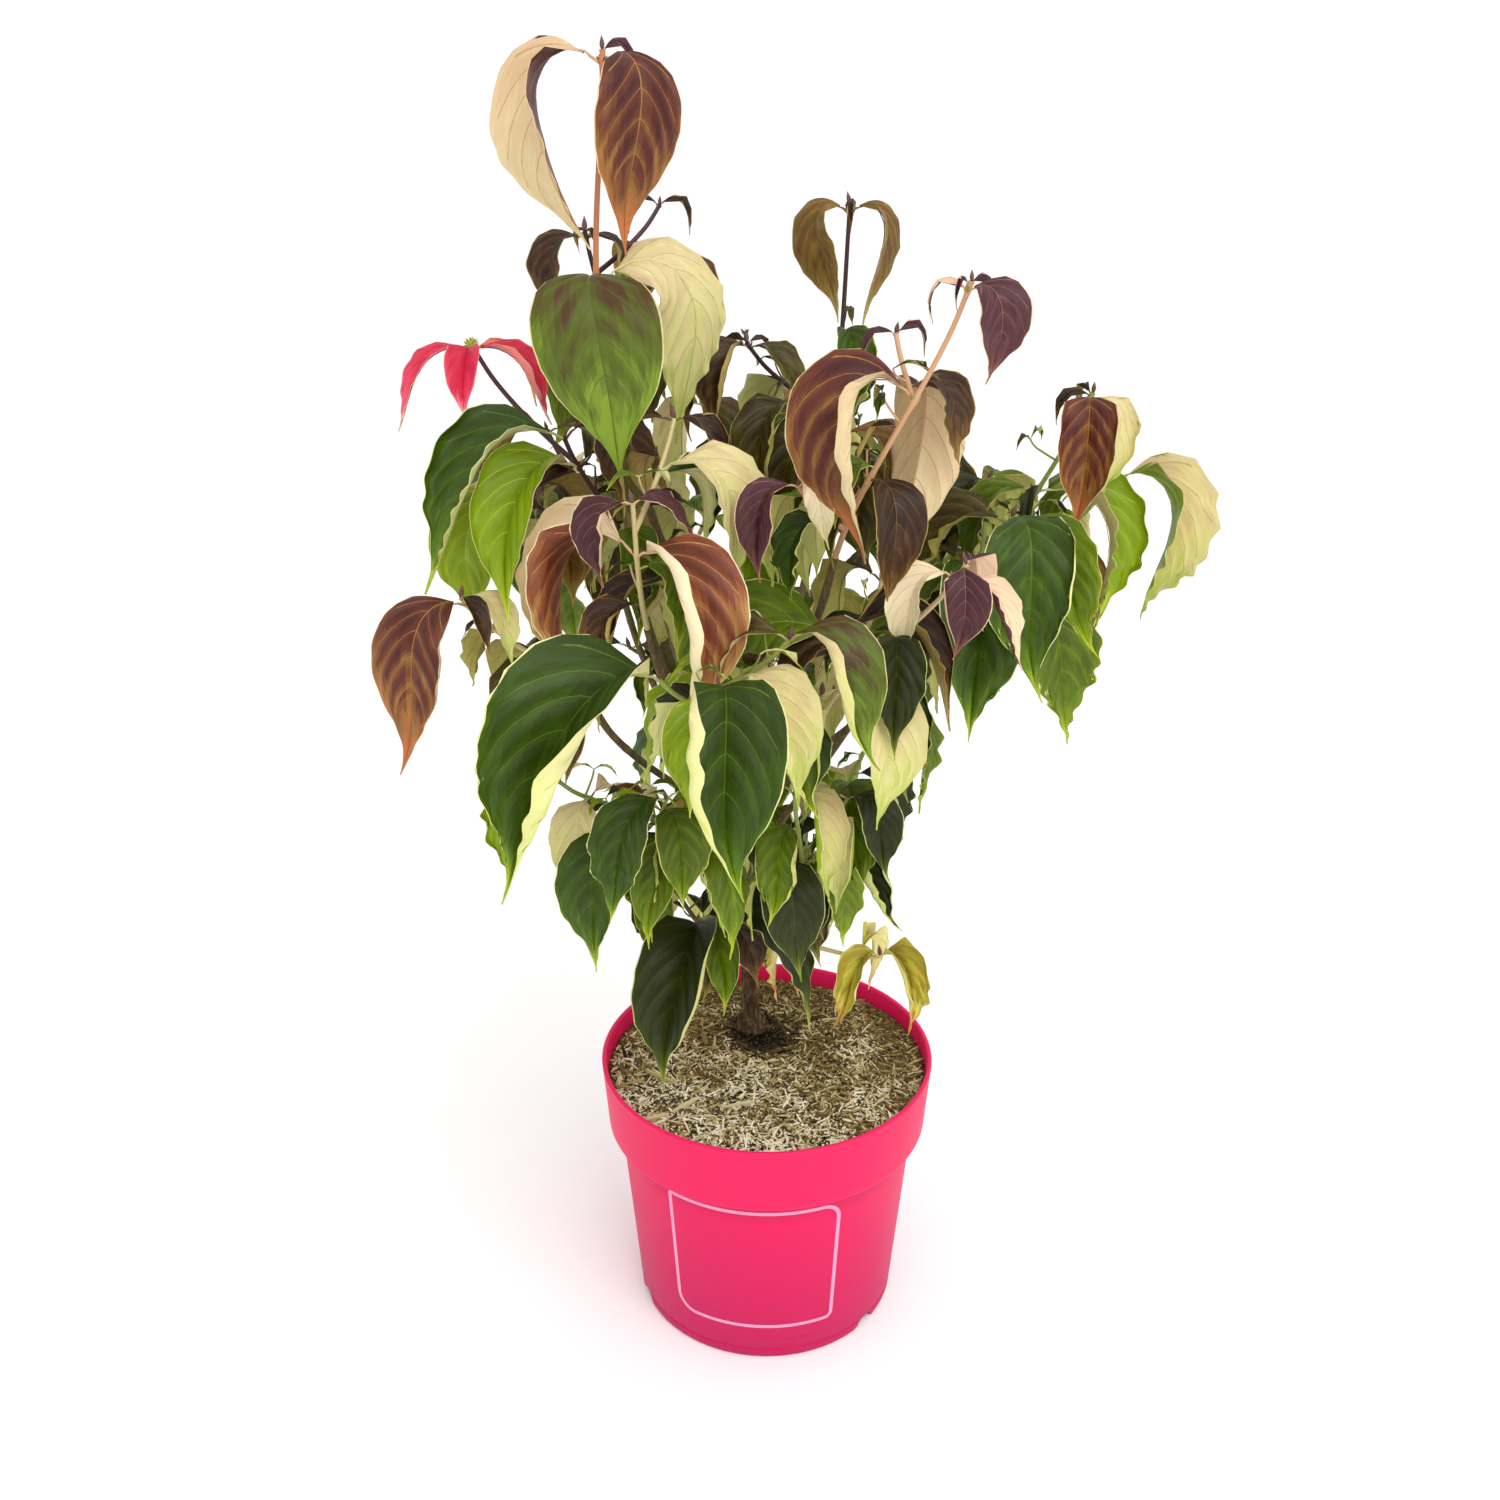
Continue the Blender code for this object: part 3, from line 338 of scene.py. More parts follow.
@dataclass(frozen=True)
class MouldedPlastic(Finish):
    """Polypropylene, injection moulded: a dense pink with a soft, slightly dusty gloss.

    The body darkens to a deeper magenta towards its foot as painted shade, and the moulding leaves a fine
    pebbled skin.
    """
    name: str = "moulded_polypropylene"
    collar: str = "#E41558"
    bright: str = "#DE0C56"
    # The body's pink with painted shade, for its foot and under the lip
    low: str = "#B80A52"
    dust: str = "#DE6088"
    roughness: float = 0.46

    def nodes(self) -> Rows:
        """The pot's pinks by height, with painted shade low down and under the lip, its dust and its
        moulded skin.

        Returns:
            The nodes by name.
        """
        return {
            "split": ("SeparateXYZ", {"Vector": "where.3"}),
            "cloud": ("TexNoise", {"Scale": 14.0, "Detail": 3.0}),
            "height": ("Math", {"operation": "MULTIPLY_ADD", 0: "cloud", 1: 0.03, 2: "split.2"}),
            # Painted shade: the body darkens towards its foot
            "shade": ("MapRange", {"From Min": 0.015, "From Max": 0.125, "Value": "height"}),
            "body": ("Mix", {"data_type": "RGBA", 0: "shade", 6: linear(self.low),
                             7: linear(self.bright)}),
            # Painted shade darkens the body just under the lip, and the deep collar above is a slightly
            # brighter pink
            "lip": ("MapRange", {"From Min": 0.109, "From Max": 0.121, "To Max": 0.6,
                                 "Value": "split.2"}),
            "grimed": ("Mix", {"data_type": "RGBA", 0: "lip", 6: "body.2", 7: linear(self.low)}),
            "band": ("MapRange", {"From Min": 0.1235, "From Max": 0.1255, "Value": "split.2"}),
            "banded": ("Mix", {"data_type": "RGBA", 0: "band", 6: "grimed.2",
                               7: linear(self.collar)}),
            # Dust and scuffs, thickest near the foot: specks of about half a millimetre
            "speck": ("TexNoise", {"Scale": 900.0, "Detail": 2.0}),
            "cut": ("MapRange", {"From Min": 0.66, "From Max": 0.74, "Value": "speck"}),
            "foot": ("MapRange", {"From Max": 0.07, "To Min": 0.55, "To Max": 0.08,
                                  "Value": "split.2"}),
            "dusty": ("Math", {"operation": "MULTIPLY", 0: "cut", 1: "foot"}),
            "coat": ("Mix", {"data_type": "RGBA", 0: "dusty", 6: "banded.2",
                             7: linear(self.dust)}),
            "rough": ("MapRange", {"To Min": self.roughness - 0.08, "Value": "cloud",
                                   "To Max": self.roughness + 0.14}),
            # Pebbled skin of the mould, about 0.7 mm, drawn a little coarser than life
            "skin": ("TexNoise", {"Scale": 1100.0, "Detail": 3.0}),
            "bump": ("Bump", {"Strength": 0.22, "Distance": 0.0001, "Height": "skin"}),
            "shader": (SHADER, {"IOR": 1.49, "Specular IOR Level": 0.27, "Base Color": "coat.2",
                                "Roughness": "rough", "Normal": "bump"})}


@dataclass(frozen=True)
class MediumFinish(Finish):
    """Damp wood-fibre growing medium: tan crumbs with painted shade in the gaps between them."""
    name: str = "wood_fibre_medium"

    def nodes(self) -> Rows:
        """Crumbs of about 1.5 mm, quite dull.

        Returns:
            The nodes by name.
        """
        return {
            "crumbs": ("TexVoronoi", {"Scale": 640.0}),
            # Painted shade darkens each crumb towards the gaps between crumbs
            "gap": ("MapRange", {"From Min": 0.1, "From Max": 0.75, "Value": "crumbs"}),
            "tone": ("Mix", {"data_type": "RGBA", 0: "gap", 6: linear("#8C7648"),
                             7: linear("#2A2016")}),
            "bump": ("Bump", {"Strength": 0.8, "Distance": 0.0008, "invert": True,
                              "Height": "crumbs"}),
            "shader": (SHADER, {"Specular IOR Level": 0.2, "Roughness": 0.92,
                                "Base Color": "tone.2", "Normal": "bump"})}


@dataclass(frozen=True)
class FloorFinish(Finish):
    """Matt white studio board, barely mottled, which takes a soft contact shadow."""
    name: str = "studio_board"

    def nodes(self) -> Rows:
        """White, with a drifting dullness.

        Returns:
            The nodes by name.
        """
        return {"cloud": ("TexNoise", {"Scale": 3.0, "Detail": 4.0}),
                "rough": ("MapRange", {"To Min": 0.7, "To Max": 0.95, "Value": "cloud"}),
                "shader": (SHADER, {"Base Color": linear("#FFFFFF"), "Specular IOR Level": 0.15,
                                    "Roughness": "rough"})}


OLD_BARK = BarkFinish("flaking_bark", "#1E140A", "#4A3822", "#94825F", 0.3, 0.88)
YOUNG_BARK = BarkFinish("young_bark", "#4A3A2C", "#6A5A3C", "#8B7C52", 0.22, 0.7)


class Batch:
    """Gathers patches of mesh with their finishes and makes one object of them."""

    def __init__(self, name: str) -> None:
        """Start an empty batch.

        Args:
            name: The piece that it makes.
        """
        self.name = name
        self.finishes: dict[Finish, int] = {}
        self.points: list[Array] = []
        self.faces: list[Array] = []
        self.tones: list[Array] = []
        self.count = 0

    def tone(self, finish: Finish) -> int:
        """The number of a finish in this piece, which takes it in if it is new."""
        return self.finishes.setdefault(finish, len(self.finishes))

    def add(self, points: Array, faces: Array, tones: Array) -> None:
        """Take in a patch.

        Args:
            points: Its vertices in millimetres.
            faces: Their indices, three or four a row.
            tones: A finish's number for each face.
        """
        self.points.append(points.reshape(-1, 3) * MM)
        self.faces.append(faces + self.count)
        self.tones.append(tones)
        self.count += len(self.points[-1])

    def grid(self, points: Array, tones: Array, around: bool = False, flip: bool = False) -> None:
        """Take in a sheet of quads.

        Args:
            points: Vertices by row and column, in millimetres.
            tones: A finish's number for each cell.
            around: Whether the last column joins the first.
            flip: Whether the faces look the other way.
        """
        rows, columns = points.shape[:2]
        across = columns if around else columns - 1
        i, j = np.meshgrid(np.arange(rows - 1), np.arange(across), indexing="ij")
        k = (j + 1) % columns
        quads = np.stack([i * columns + j, (i + 1) * columns + j,
                          (i + 1) * columns + k, i * columns + k], -1).reshape(-1, 4)
        self.add(points, quads[:, [0, 3, 2, 1]] if flip else quads,
                 np.broadcast_to(tones, (rows - 1, across)).reshape(-1))

    def limb(self, line: Array, radii: Array, sides: int, finish: Finish,
             relief: Callable[[float, Array], Array] | None = None) -> None:
        """Take in a closed tube.

        Args:
            line: Its path in millimetres.
            radii: Its radius at each point.
            sides: How many sides it has.
            finish: What it is finished in.
            relief: What to scale a ring's radius by, from its height and its angles.
        """
        heads = unit(np.gradient(line, axis=0))
        side = Vector(heads[0]).orthogonal()
        angles = np.arange(sides) * 2 * math.pi / sides
        circle = np.stack([np.cos(angles), np.sin(angles)], -1)
        rings = []
        for point, head, radius in zip(line, heads, radii):
            way = Vector(head)
            side = (side - way * side.dot(way)).normalized()
            rim = circle @ np.array([side, way.cross(side)])
            height = float((point + rim * radius)[0, 2])
            swell = relief(height, angles) if relief else np.ones(sides)
            rings.append(point + rim * (radius * swell)[:, None])
        tone = np.array(self.tone(finish))
        self.grid(np.array(rings), tone, around=True, flip=True)
        first = np.arange(sides) - len(line) * sides
        last = np.arange(sides) - sides
        fans = [np.stack([np.roll(first, -1), first, np.zeros_like(first)], -1),
                np.stack([last, np.roll(last, -1), np.ones_like(last)], -1)]
        self.add(line[[0, -1]], np.concatenate(fans), np.full(2 * sides, tone))

    def piece(self, *nodes: str, slot: str, crease: float = 60.0) -> None:
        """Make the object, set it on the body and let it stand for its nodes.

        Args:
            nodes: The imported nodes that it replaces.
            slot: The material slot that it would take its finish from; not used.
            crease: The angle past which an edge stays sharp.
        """
        mesh = bpy.data.meshes.new(self.name)
        points, tones = np.concatenate(self.points), np.concatenate(self.tones)
        sizes = np.concatenate([np.full(len(f), f.shape[1]) for f in self.faces])
        corners = np.concatenate([f.reshape(-1) for f in self.faces])
        starts = np.concatenate([[0], np.cumsum(sizes)[:-1]])
        mesh.vertices.add(len(points))
        mesh.loops.add(len(corners))
        mesh.polygons.add(len(sizes))
        for rows, name, values, kind in (
                (mesh.vertices, "co", points.reshape(-1), np.float32),
                (mesh.loops, "vertex_index", corners, np.int32),
                (mesh.polygons, "loop_start", starts, np.int32),
                (mesh.polygons, "material_index", tones, np.int32),
                (mesh.polygons, "use_smooth", np.ones(len(sizes)), bool)):
            rows.foreach_set(name, values.astype(kind))
        for finish in self.finishes:
            mesh.materials.append(finish.material())
        mesh.update(calc_edges=True)
        mesh.validate()
        mesh.set_sharp_from_angle(angle=math.radians(crease))
        thing = bpy.data.objects.new(self.name, mesh)
        bpy.context.scene.collection.objects.link(thing)
        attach(thing, BODY)
        if nodes:
            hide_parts(*nodes)
        LOG.info("%s: %d faces, %d finishes", self.name, len(sizes), len(self.finishes))


@dataclass(frozen=True)
class Ramp:
    """One tint's tones, as sRGB hex.

    upper runs from the flesh between the veins out to their bands and on to the
    tip, under from the stalk to the tip, and each side has its vein's own tone.
    spread tells how far the bands stand out from the flesh, blotch how mottled the
    blade is, fade the share of the blade where the tip's tone begins, and wave how
    far the margins wave against a green leaf's.
    """
    upper: tuple[str, ...]
    vein: str
    under: tuple[str, ...]
    under_vein: str
    stalk: str
    spread: float = 1.0
    blotch: float = 1.0
    fade: float = 0.6
    wave: float = 1.0


def shades(anchors: tuple[str, ...], count: int) -> list[str]:
    """Even steps of tone through a few anchors.

    Args:
        anchors: The tones to pass through, as sRGB hex.
        count: How many steps to make.

    Returns:
        The steps as sRGB hex.
    """
    rows = np.array([[int(c[i:i + 2], 16) for i in (1, 3, 5)] for c in anchors])
    places = np.linspace(0, len(anchors) - 1, count)
    mixed = [np.interp(places, range(len(anchors)), rows[:, k]) for k in range(3)]
    return ["#" + "".join(f"{round(v):02X}" for v in tone) for tone in zip(*mixed)]


class Tint(Enum):
    """The tints that the leaves and bracts have at the turn of the season; DARK is a darker copy of DEEP,
    partly painted shade.
    """
    # DARK, a darker copy of DEEP, is dealt mostly to low and inner leaves, partly as painted shade
    DARK = Ramp(("#1E2303", "#2B3204", "#424B0C", "#848E28"), "#3E4514", ("#C0BE7C", "#C6C880", "#B0BA5C"),
                "#A6A868", "#8E9A5C", 0.9, 0.8)
    DEEP = Ramp(("#2A3C04", "#3B5406", "#5A7616", "#A2B22C"), "#506A1A", ("#DCD29C", "#E2E09A", "#CCD668"),
                "#C2BE7C", "#AEB878", 1.0, 1.1)
    GREEN = Ramp(("#465806", "#5E740A", "#7E9216", "#B4BC30"), "#768622", ("#C8C074", "#D2D27C", "#C6D05C"),
                 "#AAAA60", "#AEBB6C", 1.1, 1.2)
    LIME = Ramp(("#748E0C", "#889F16", "#A2B628", "#CED858"), "#AEBA48", ("#CDB68A", "#D8CE90", "#B4C45C"),
                "#B4A86C", "#D3D68E", 1.0, 1.3)
    MOTTLED = Ramp(("#4C3218", "#4E5416", "#5A6C18", "#7A9228"), "#525C1C",
                   ("#C8AE86", "#D6CC8C", "#B8C65C"), "#AE9C66", "#A8A062", 1.3, 2.2, 0.05, 0.45)
    OLIVE = Ramp(("#32290A", "#494010", "#655E1C", "#94903A"), "#6C6428", ("#948A42", "#AAA252", "#BEBA6C"),
                 "#847A38", "#86804A", 1.1, 1.5)
    BROWN = Ramp(("#2C190E", "#462D16", "#6A4C20", "#94733A"), "#6C5028", ("#A0864A", "#B49C5A", "#C6B476"),
                 "#887036", "#6E5440", 1.2, 1.5, 0.5, 0.6)
    BRONZE = Ramp(("#64461A", "#7C5E24", "#987A38", "#BCA25C"), "#98783A",
                  ("#A68E4A", "#B8A45A", "#C8B874"), "#947E3C", "#7C6844", 1.2, 1.5, 0.5, 0.3)
    BURGUNDY = Ramp(("#421A16", "#602E1E", "#8A602C", "#B46A3C"), "#966C32",
                    ("#CCAC84", "#D8C096", "#DECD9C"), "#B09068", "#D2A27C", 2.0, 1.2, 0.62, 0.35)
    PLUM = Ramp(("#422228", "#5A3336", "#7C4C42", "#C0705C"), "#8C5C4A", ("#D8AC92", "#E6C8A4", "#E8D0A8"),
                "#C0987A", "#D8AE8C", 0.7, 1.0, 0.6, 0.5)
    RUSSET = Ramp(("#5E2C18", "#80442A", "#A87440", "#D4B470"), "#B08248",
                  ("#E8D2AC", "#EEDDB6", "#E0D898"), "#CEB48A", "#E2BE98", 2.0, 1.5, 0.6, 0.5)
    WITHERED = Ramp(("#A89838", "#CCC24A", "#E2DC70", "#C88844"), "#D0C060",
                    ("#DCD082", "#E6DE94", "#D2A862"), "#C8B868", "#D8CC84", 1.4, 3.0, 0.4, 2.2)
    BRACT = Ramp(("#C01C3A", "#DC3856", "#EC6880", "#F6D4BC"), "#C2304E", ("#E67478", "#EA8C82", "#ECB096"),
                 "#D26068", "#B86A70", 0.9, 1.2, 0.5, 0.3)
    BRACT_ORANGE = Ramp(("#DC6A52", "#E4845E", "#E8A078", "#D24C5C"), "#D06A50",
                        ("#E89C72", "#EAA478", "#EAB084"), "#D68460", "#B87A60", 0.8, 1.2, 0.5, 0.3)


UPPER_SHADES, UNDER_SHADES = 12, 6


@dataclass(frozen=True)
class Coat:
    """How one leaf shows: its tint, which side is out, and how its margins roll.

    left and right are degrees, seen from above with the tip ahead, from the share
    start on, and None leaves the margin to chance.
    """
    tint: Tint
    turned: bool = False
    left: float | None = None
    right: float | None = None
    fold: float | None = None
    start: float = 0.05

    def over(self) -> "Coat":
        """The same leaf with its underside out."""
        return replace(self, turned=not self.turned)

    def roll(self, left: float = 0.0, right: float = 0.0) -> "Coat":
        """The same leaf with its margins rolled."""
        return replace(self, left=left, right=right)

    def flat(self, fold: float = 4.0) -> "Coat":
        """The same leaf spread open."""
        return replace(self, left=0.0, right=0.0, fold=fold)


DARK, DEEP, GREEN, LIME, MOTTLED, OLIVE, BROWN, BRONZE, BURGUNDY, PLUM, RUSSET, WITHERED = (
    Coat(tint) for tint in list(Tint)[:12])
LIMP = Coat(Tint.WITHERED, False, 80.0, 50.0, 56.0, 0.1)
BROAD_ROLL = Coat(Tint.DEEP, False, 30.0, 148.0, 42.0, 0.25)
NARROW_LIME = Coat(Tint.LIME, False, 95.0, 30.0, 46.0)
NARROW_DARK = Coat(Tint.DARK, False, 30.0, 75.0, 40.0)
CRESCENT = Coat(Tint.BURGUNDY, False, 105.0, 55.0, 40.0)


@dataclass(frozen=True)
class Pair:
    """The leaves at one node: its share of the shoot, their bearings and length.

    A node with no far leaf has None as its bearing. coats dresses the near and the
    far leaf, and None leaves them to the mass's own mix. lift raises both leaves
    where they leave the shoot, and spread where they hang. give tells how soon they
    bend down, and share is the far leaf's share of the length.
    """
    at: float
    near: float
    far: float | None
    length: float
    coats: tuple[Coat, ...] | None = None
    lean: float = 0.0
    lift: float = 0.0
    spread: float = 0.0
    give: float = 1.0
    share: float = 1.0


@dataclass(frozen=True)
class Shoot:
    """A leafy shoot, told by where its tip stands and the pairs it carries."""
    tip: Spot
    pairs: tuple[Pair, ...]
    fill: bool = True
    hang: float = -95.0
    flower: bool = False


class Rind(Enum):
    """The rinds of young shoots, by sRGB hex."""
    ORANGE = "#C8805A"
    PINK = "#D2A27A"
    CREAM = "#CDBB86"
    GREEN = "#8E9A4C"
    OLIVE = "#6A6434"
    PURPLE = "#4A2E30"


@dataclass(frozen=True)
class Bough:
    """A limb that leaves the trunk at a height and ends where its mass begins."""
    height: float
    tip: Spot
    radius: float
    shoots: tuple[Shoot, ...]
    rind: Rind
    mix: tuple[Coat, ...]


# The leaves inside the crown take the darker tints, partly as painted shade
INNER_MIX = (OLIVE, DARK, DEEP, GREEN, BROWN)
BACK_MIX = (DEEP, GREEN, OLIVE, GREEN, BRONZE, DEEP, MOTTLED, LIME.over())

BOUGHS = {
    "leader": Bough(350, (-79, -48, 596), 2.6, (
        Shoot((-75, -50, 726), (Pair(0.95, -38, None, 106, (BURGUNDY.flat(8),), -4, 8, 0, 0.6),
            Pair(0.95, 180, None, 106, (BURGUNDY.over().flat(30),), 0, 8, 4, 0.85),
            Pair(0.24, -98, 30, 128, (MOTTLED.flat(), LIME.over().flat()), 14, 15),
            Pair(1, 12, 190, 28, (PLUM, PLUM), 0, 20)), hang=-106),
    ), Rind.ORANGE, (MOTTLED, DEEP)),
    "front": Bough(282, (-6, -98, 412), 2.1, (
        Shoot((-52, -134, 462), (Pair(1, 236, 0, 148, (BROAD_ROLL, LIME), -14, 5),), hang=-80),
        Shoot((-24, -148, 464), (Pair(1, -80, 110, 118, (DEEP.roll(left=165), GREEN)),
            Pair(0.65, 252, 60, 66, (LIME.flat(10), LIME.over()))), hang=-86),
        Shoot((8, -130, 480), (
            Pair(1, -34, 188, 92, (MOTTLED.roll(left=150), MOTTLED.roll(left=160)), 0, 15),
            Pair(0.5, -55, 130, 84, (LIME.over(), GREEN))), hang=-84),
        Shoot((24, -112, 446), (Pair(1, -28, 150, 90, (LIME.over(), GREEN)),)),
    ), Rind.GREEN, (GREEN, LIME, LIME.over())),
    "front_left": Bough(318, (-60, -82, 468), 2.1, (
        Shoot((-64, -101, 536), (Pair(0.6, -62, 150, 124, (RUSSET.roll(left=140), RUSSET.over())),
            Pair(1, 188, 8, 54, (PLUM, PLUM)))),
        Shoot((-46, -62, 566), (Pair(0.55, -14, 170, 92, (LIME.over(), GREEN)),
            Pair(1, -15, 165, 68, (BROWN.roll(right=120), BROWN)))),
        Shoot((-32, -40, 512), (Pair(1, -50, 130, 84, (LIME, GREEN)),)),
    ), Rind.CREAM, (DEEP, OLIVE, BROWN, GREEN)),
    "right": Bough(336, (31, -69, 500), 2.3, (
        Shoot((86, -100, 634), (Pair(0.6, 197, None, 114, (BURGUNDY.roll(right=150),), 0, 18),
            Pair(0.6, 76, None, 112, (CRESCENT,), 0, 5, 0, 0.7),
            Pair(0.96, -42, 176, 62, (PLUM, PLUM.over()), 0, 15, 0, 1, 0.55),
            Pair(1, 15, 195, 32, (PLUM, PLUM))), hang=-108),
        Shoot((57, -66, 606), (Pair(1, 192, 20, 28, (PLUM, PLUM)),), False),
        Shoot((12, -90, 541), (Pair(1, 192, -4, 58, (PLUM.flat(40), RUSSET.over())),), False),
        Shoot((34, -30, 552), (Pair(1, 210, -20, 84, (OLIVE, BRONZE)),)),
    ), Rind.PINK, (OLIVE, BROWN, DEEP)),
    "left": Bough(331, (-74, -14, 486), 2.3, (
        Shoot((-101, -40, 552), (Pair(1, 200, 20, 122, (DEEP, BROWN), 0, 0, 18, 0.8),
            Pair(0.75, 232, 60, 106, (NARROW_LIME, OLIVE), 0, 0, 10)), hang=-88),
        Shoot((-124, -28, 520), (Pair(1, 222, 40, 92, (LIME, BROWN)),
            Pair(0.7, 165, -60, 60, (BROWN, BRONZE)))),
        Shoot((-150, 0, 590), (), False, flower=True),
        Shoot((-118, 30, 540), (Pair(1, 150, -30, 80, (BROWN, OLIVE)),)),
    ), Rind.PURPLE, (GREEN, OLIVE, DARK)),
    "far_right": Bough(313, (88, -6, 436), 2.2, (
        Shoot((162, -10, 568), (Pair(0.62, -4, 200, 98, (LIME, GREEN)),
            Pair(0.96, -98, -8, 90, (BURGUNDY, LIME.over()), 0, 15, 0, 0.8, 0.75),
            Pair(1, 100, 196, 30, (BROWN, BROWN))), hang=-102),
        Shoot((122, -32, 510), (Pair(1, -80, 100, 112, (DEEP, OLIVE)),
            Pair(0.75, -45, 165, 96, (GREEN, OLIVE), 0, 0, 16)), hang=-90),
        Shoot((182, 16, 516), (Pair(1, -26, 190, 106, (LIME.over().flat(64), GREEN), 0, 0, -10, 0.85),
            Pair(0.7, -60, 110, 90, (GREEN, LIME))), hang=-98),
        Shoot((100, -12, 476), (Pair(1, -88, 110, 116, (DEEP.roll(), OLIVE), 0, 0, 6),), False),
        Shoot((126, -4, 452), (Pair(1, -36, 140, 100, (GREEN.roll(), OLIVE), 0, 0, 10),)),
        Shoot((120, 40, 510), (Pair(1, 60, 240, 84, (GREEN, DARK)),)),
    ), Rind.GREEN, (DEEP, DARK, OLIVE, GREEN)),
    "left_low": Bough(303, (-92, -58, 420), 1.9, (
        Shoot((-152, -70, 480), (Pair(0.92, 216, 30, 106, (BURGUNDY, GREEN), 0, 5, 8, 0.8),
            Pair(1, 256, -28, 58, (BROWN, LIME.over())))),
        Shoot((-104, -80, 432), (Pair(1, 192, 4, 60, (DARK, LIME.over())),)),
    ), Rind.CREAM, (DEEP, BROWN, OLIVE)),
    "right_low": Bough(298, (26, -84, 424), 2.0, (
        Shoot((89, -112, 510), (Pair(0.92, 155, -28, 68, (RUSSET.over(), PLUM.over())),
            Pair(1, -105, 60, 52, (PLUM.roll(left=110), PLUM)))),
        Shoot((34, -94, 468), (
            Pair(1, -8, 162, 122, (BROWN.roll(right=120), GREEN), 0, 0, 0, 1.3),), hang=-80),
        Shoot((56, -48, 482), (Pair(1, -40, 140, 84, (DARK, OLIVE)),)),
    ), Rind.CREAM, (DEEP, LIME.over(), OLIVE, DARK)),
    "back_left": Bough(341, (-78, 50, 560), 2.1, (
        Shoot((-95, 42, 640), (Pair(0.95, 196, 14, 56, (BROWN, BROWN)),
            Pair(1, 120, 300, 22, (BROWN, BROWN)))),
        Shoot((-58, 72, 650), (Pair(1, 0, 180, 34, (BROWN, BROWN)),
            Pair(0.4, 70, 250, 60, (BROWN, OLIVE))), False),
        Shoot((-52, 60, 624), (Pair(0.95, -48, 150, 54, (BROWN, OLIVE)),
            Pair(1, 260, 80, 24, (BROWN, BROWN)))),
        Shoot((-84, 100, 596), (Pair(1, 100, 280, 84),)),
    ), Rind.PURPLE, (OLIVE, BROWN, GREEN)),
    "back_tall": Bough(326, (34, 76, 515), 2.2, (
        Shoot((43, 80, 650), (Pair(0.96, 186, -10, 82, (BRONZE.flat(30), BRONZE.flat(20)), 0, 10, 0, 0.7),
            Pair(1, 90, 270, 26, (BROWN, BROWN))), False, hang=-106),
        Shoot((-12, 52, 582), (Pair(0.95, 228, -62, 66, (BROWN, OLIVE)),
            Pair(1, 150, -10, 26, (BROWN, BROWN)))),
        Shoot((16, 44, 548), (Pair(1, 225, 20, 80, (OLIVE, GREEN)),)),
        Shoot((76, 92, 506), (Pair(1, -30, 150, 80, (OLIVE, GREEN)), Pair(0.7, 70, 250, 84))),
    ), Rind.PURPLE, (OLIVE, GREEN, DARK)),
    "low_left": Bough(268, (-58, -34, 336), 1.9, (
        Shoot((-110, -60, 376), (Pair(1, 202, 20, 80, (LIME, GREEN)),
            Pair(0.7, 245, 60, 70, (LIME.over(), RUSSET.over())))),
        Shoot((-52, -98, 384), (Pair(1, 226, 46, 80, (DEEP, GREEN)),
            Pair(0.7, -60, 130, 66, (GREEN, LIME.over()))), hang=-84),
        Shoot((-70, -70, 350), (Pair(1, 232, 20, 92, (DEEP, GREEN)),
            Pair(0.65, 270, 90, 68, (GREEN, LIME))), hang=-84),
        Shoot((-34, -84, 348), (Pair(1, -104, 70, 90, (GREEN.flat(), DEEP)),
            Pair(0.7, 215, -20, 72, (GREEN, DEEP))), hang=-88),
    ), Rind.GREEN, (GREEN, DEEP, LIME)),
    "low_right": Bough(254, (14, -34, 298), 1.9, (
        Shoot((12, -100, 388), (Pair(1, -42, 140, 76, (LIME.over(), GREEN)),
            Pair(0.7, 230, 40, 70, (GREEN, GREEN)))),
        Shoot((42, -46, 360), (Pair(1, -36, 164, 66, (DARK, LIME.over())),
            Pair(0.7, -80, 100, 68, (LIME.over(), GREEN)))),
        Shoot((24, -20, 314), (Pair(1, -24, 164, 74, (DARK, GREEN), 0, 0, 26),)),
        Shoot((4, -66, 334), (Pair(1, -80, 88, 80, (DARK.flat(), DEEP)),)),
        Shoot((60, 10, 380), (Pair(1, 10, 190, 80),)),
    ), Rind.GREEN, (GREEN, DEEP, LIME.over())),
    "foot_left": Bough(244, (-30, -2, 262), 1.6, (
        Shoot((-40, -46, 282), (Pair(1, 258, 30, 122, (NARROW_DARK, DARK), -16),
            Pair(0.5, -70, 110, 66, (GREEN, DEEP))), False, hang=-86),
        Shoot((-58, -14, 300), (Pair(1, 256, 25, 74, (GREEN, DEEP)),
            Pair(0.6, 110, 290, 66, (DEEP, DARK))), False),
    ), Rind.OLIVE, (DEEP, DARK)),
    "foot_right": Bough(232, (16, 4, 240), 1.5, (
        Shoot((66, -10, 240), (Pair(1, 222, -60, 66, (LIMP, LIMP), 0, 25),
            Pair(0.75, -80, 60, 62, (LIMP.over(), LIMP), 0, 25)), False, hang=-92),
    ), Rind.CREAM, (WITHERED,)),
    "left_back": Bough(287, (-84, 76, 430), 2.1, (
        Shoot((-140, 70, 500), (Pair(1, 170, -10, 88), Pair(0.7, 250, 80, 84))),
        Shoot((-110, 120, 490), (Pair(1, 120, 300, 88), Pair(0.7, 205, 40, 84))),
        Shoot((-80, 60, 500), (Pair(1, 60, 240, 84),)),
    ), Rind.PURPLE, BACK_MIX),
    "back_right": Bough(272, (86, 78, 424), 2.2, (
        Shoot((128, 104, 480), (Pair(1, 30, 205, 92), Pair(0.7, -50, 120, 88))),
        Shoot((84, 140, 500), (Pair(1, 80, 262, 92), Pair(0.7, 170, 0, 86))),
